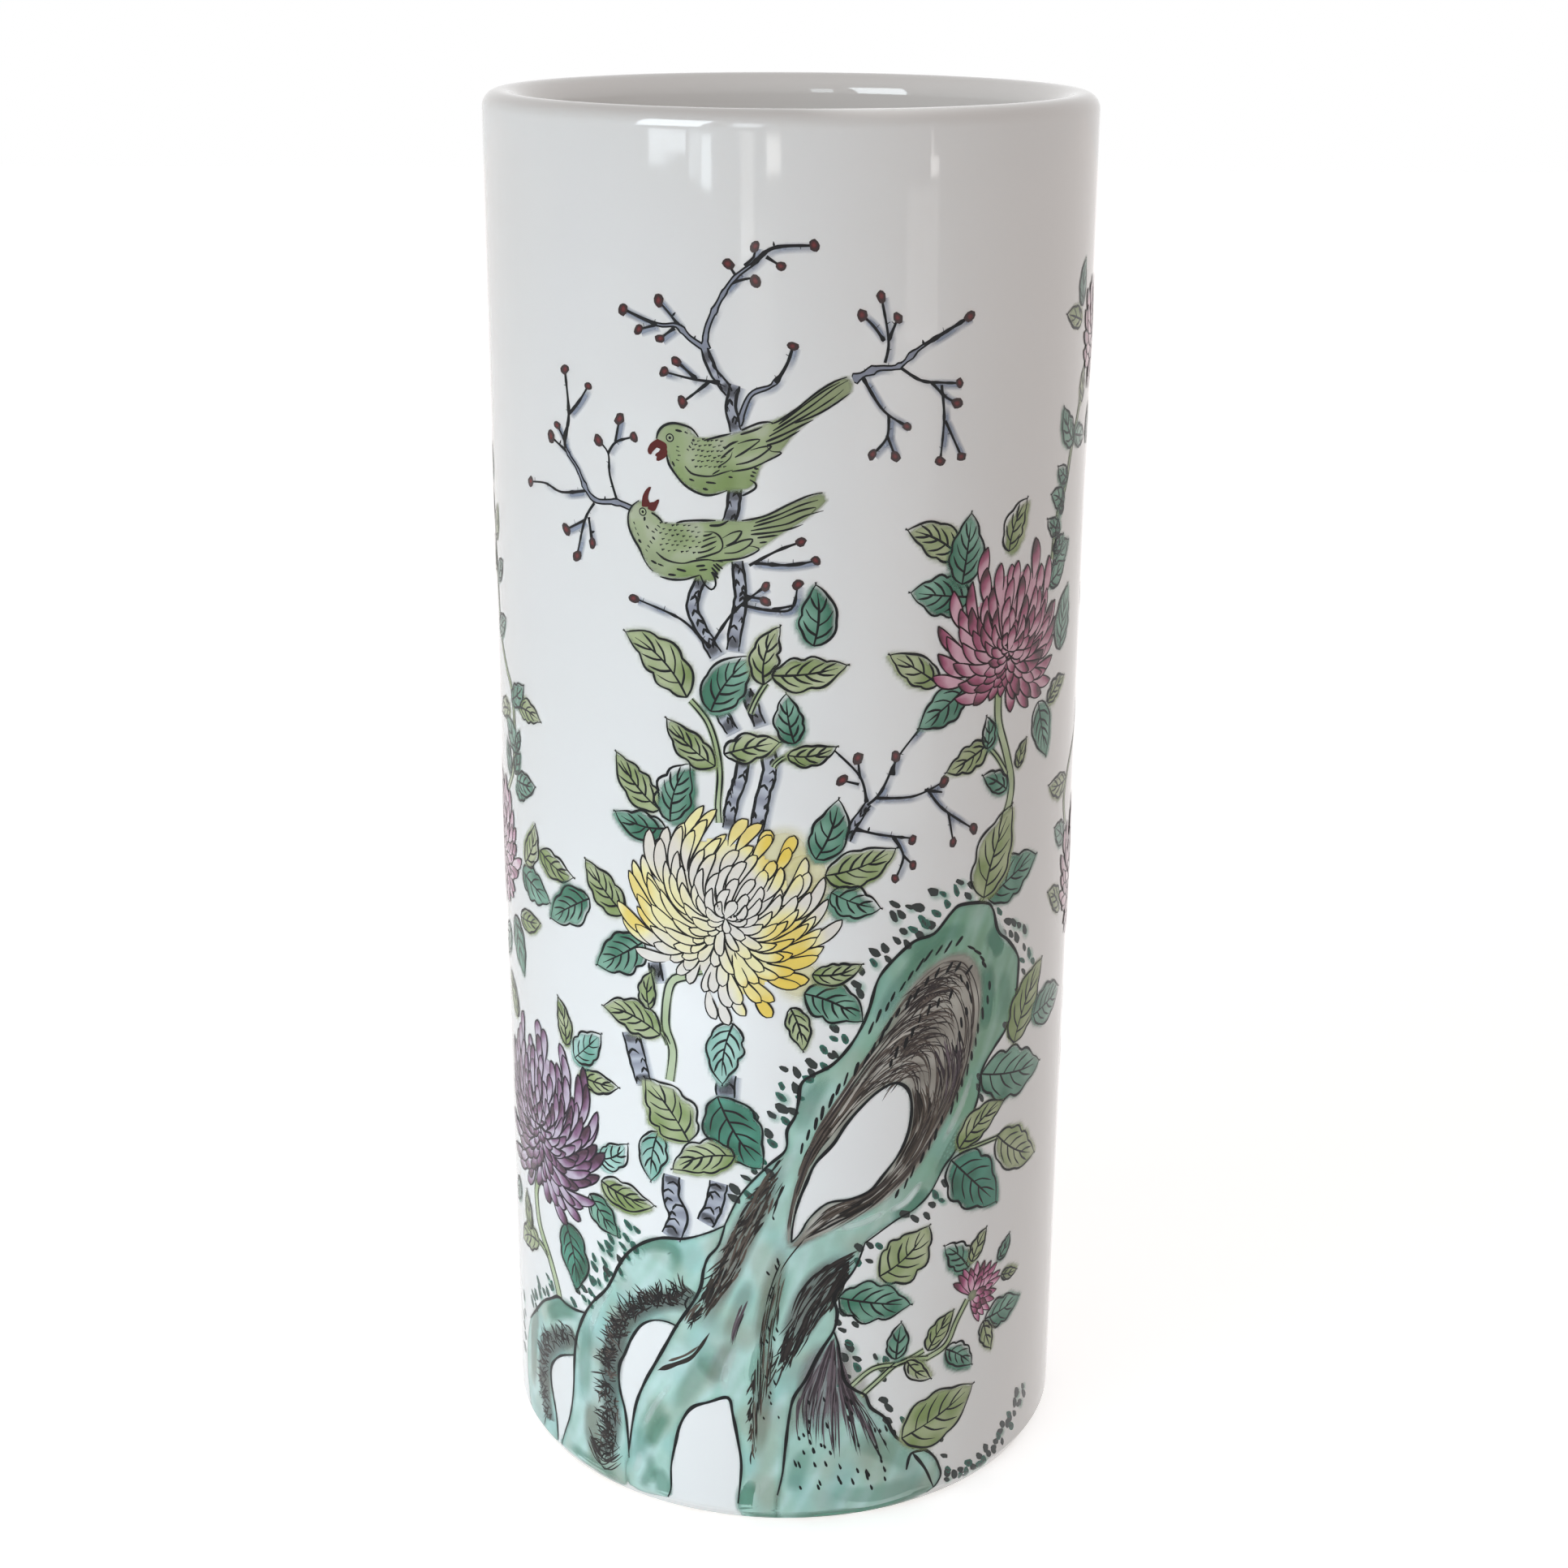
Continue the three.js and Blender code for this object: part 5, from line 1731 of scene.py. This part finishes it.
def softLamp(name, place, aim, width, height, power, colour, mirrored=False):
    lamp = bpy.data.lights.new(name, "AREA")
    lamp.shape = "RECTANGLE"
    lamp.size, lamp.size_y = width, height
    lamp.energy = power
    lamp.color = colour
    holder = bpy.data.objects.new(name, lamp)
    holder.location = place
    holder.rotation_euler = (Vector(aim) - Vector(place)).to_track_quat("-Z", "Y").to_euler()
    holder.visible_camera = False
    holder.visible_glossy = mirrored
    holder.visible_diffuse = not mirrored
    bpy.context.scene.collection.objects.link(holder)


# Lamps: place, aim, width, height, power, colour.
lamps = {
    "window_left": ((-1.0, -0.7, 0.35), (0, 0, 0.1), 0.8, 0.8, 2.3, (0.76, 0.93, 1.0)),
    "low_fill": ((-0.18, -0.29, 0.04), (0, 0, 0.05), 0.25, 0.06, 0.42, (0.74, 0.89, 1.0)),
    "mouth_light": ((0.0, -0.045, 0.31), (0.035, 0.04, 0.265), 0.03, 0.03, 0.012, (1, 1, 1)),
}
for name, lamp in lamps.items():
    softLamp(name, *lamp)


# A place on the outside of the wall and the way it faces.
def wallMirror(s, z):
    angle = s / vase["radius"]
    return Vector(onWall(s, z, 0)), Vector((math.sin(angle), -math.cos(angle), 0))


# The same for the far inner edge of the lip: s runs round it, and the tilt goes up its round.
def lipMirror(s, tilt):
    inner, roundness = vase["radius"] - vase["wall"], vase["lipInnerRound"]
    angle, slope = s / inner, math.radians(tilt)
    radius = inner + roundness * (1 - math.cos(slope))
    height = vase["height"] - roundness * (1 - math.sin(slope))
    place = Vector((radius * math.sin(angle), radius * math.cos(angle), height)) * mm
    inward = math.cos(slope)
    return place, Vector((-math.sin(angle) * inward, -math.cos(angle) * inward, math.sin(slope)))


# A window pane placed where its mirror image falls on a given patch of the glaze.
def mirroredPane(name, mirror, span, rise, distance, brightness, colour):
    def bounced(s, z):
        place, normal = mirror(s, z)
        ray = (place - Vector(view["place"])).normalized()
        return place + ray.reflect(normal) * distance

    s, z = (span[0] + span[1]) / 2, (rise[0] + rise[1]) / 2
    width = (bounced(span[1], z) - bounced(span[0], z)).length
    height = (bounced(s, rise[1]) - bounced(s, rise[0])).length
    power = brightness * math.pi * width * height
    softLamp(name, bounced(s, z), mirror(s, z)[0], width, height, power, colour, mirrored=True)


# Panes: the mirror, span round it, heights or tilts, distance in metres, brightness, colour.
skyBlue, wallGrey = (0.86, 0.95, 1.0), (1, 0.98, 0.95)
panes = {
    "pane_left": (wallMirror, (-25.8, -18.6), (277.4, 282.7), 0.7, 5.0, skyBlue),
    "pane_middle": (wallMirror, (-18.0, -15.9), (274.4, 282.6), 0.7, 2.6, skyBlue),
    "pane_right": (wallMirror, (-15.8, -13.9), (273, 282.2), 0.7, 5.5, skyBlue),
    "door_edge": (wallMirror, (-8.8, -6.4), (260, 282.6), 0.6, 1.8, wallGrey),
    "door": (wallMirror, (-4.2, -1.8), (275, 282.7), 0.7, 4.5, wallGrey),
    "far_window": (wallMirror, (25.3, 27), (275.3, 277), 0.7, 6.0, wallGrey),
    "far_frame": (wallMirror, (25.4, 25.9), (277, 281), 0.7, 2.5, wallGrey),
    "far_wall": (wallMirror, (21, 27.4), (245, 273), 0.4, 0.9, wallGrey),
    "door_strip": (wallMirror, (-9, -2.4), (157, 268), 0.16, 0.5, wallGrey),
    "wall_strip": (wallMirror, (12, 28), (156, 249), 0.16, 0.35, wallGrey),
    "mouth_pane": (lipMirror, (13.4, 25.5), (4, 20), 0.9, 10.0, skyBlue),
    "mouth_door": (lipMirror, (4.3, 9.1), (5, 14), 0.9, 5.0, skyBlue),
}
for name, (mirror, span, rise, distance, brightness, colour) in panes.items():
    mirroredPane(name, mirror, span, rise, distance, brightness, colour)


def makeWorld():
    world = bpy.data.worlds.new("room")
    bpy.context.scene.world = world
    world.use_nodes = True
    nodes, links = world.node_tree.nodes, world.node_tree.links
    light = nodes["Background"]
    place = nodes.new("ShaderNodeTexCoord")
    height = nodes.new("ShaderNodeSeparateXYZ")
    links.new(place.outputs["Generated"], height.inputs[0])
    sky = nodes.new("ShaderNodeMix")
    sky.data_type = "RGBA"
    sky.inputs["A"].default_value = studio["horizonLight"]
    sky.inputs["B"].default_value = studio["zenithLight"]
    links.new(height.outputs["Z"], sky.inputs["Factor"])
    links.new(sky.outputs["Result"], light.inputs["Color"])
    white = nodes.new("ShaderNodeBackground")
    white.inputs["Color"].default_value = (1, 1, 1, 1)
    mix = nodes.new("ShaderNodeMixShader")
    links.new(backgroundRays(nodes, links), mix.inputs["Fac"])
    links.new(light.outputs[0], mix.inputs[1])
    links.new(white.outputs[0], mix.inputs[2])
    links.new(mix.outputs[0], nodes["World Output"].inputs["Surface"])


makeWorld()
bpy.context.scene.view_settings.view_transform = "Standard"

cameraData = bpy.data.cameras.new("camera")
cameraData.lens = view["lens"]
cameraData.sensor_width = view["sensor"]
camera = bpy.data.objects.new("camera", cameraData)
camera.location = view["place"]
turns = [Matrix.Rotation(math.radians(degrees), 3, axis)
         for degrees, axis in ((view["yaw"], "Z"), (90 - view["pitch"], "X"), (view["roll"], "Z"))]
camera.rotation_euler = (turns[0] @ turns[1] @ turns[2]).to_euler()
bpy.context.scene.collection.objects.link(camera)
bpy.context.scene.camera = camera
print("light and camera set")

low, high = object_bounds()
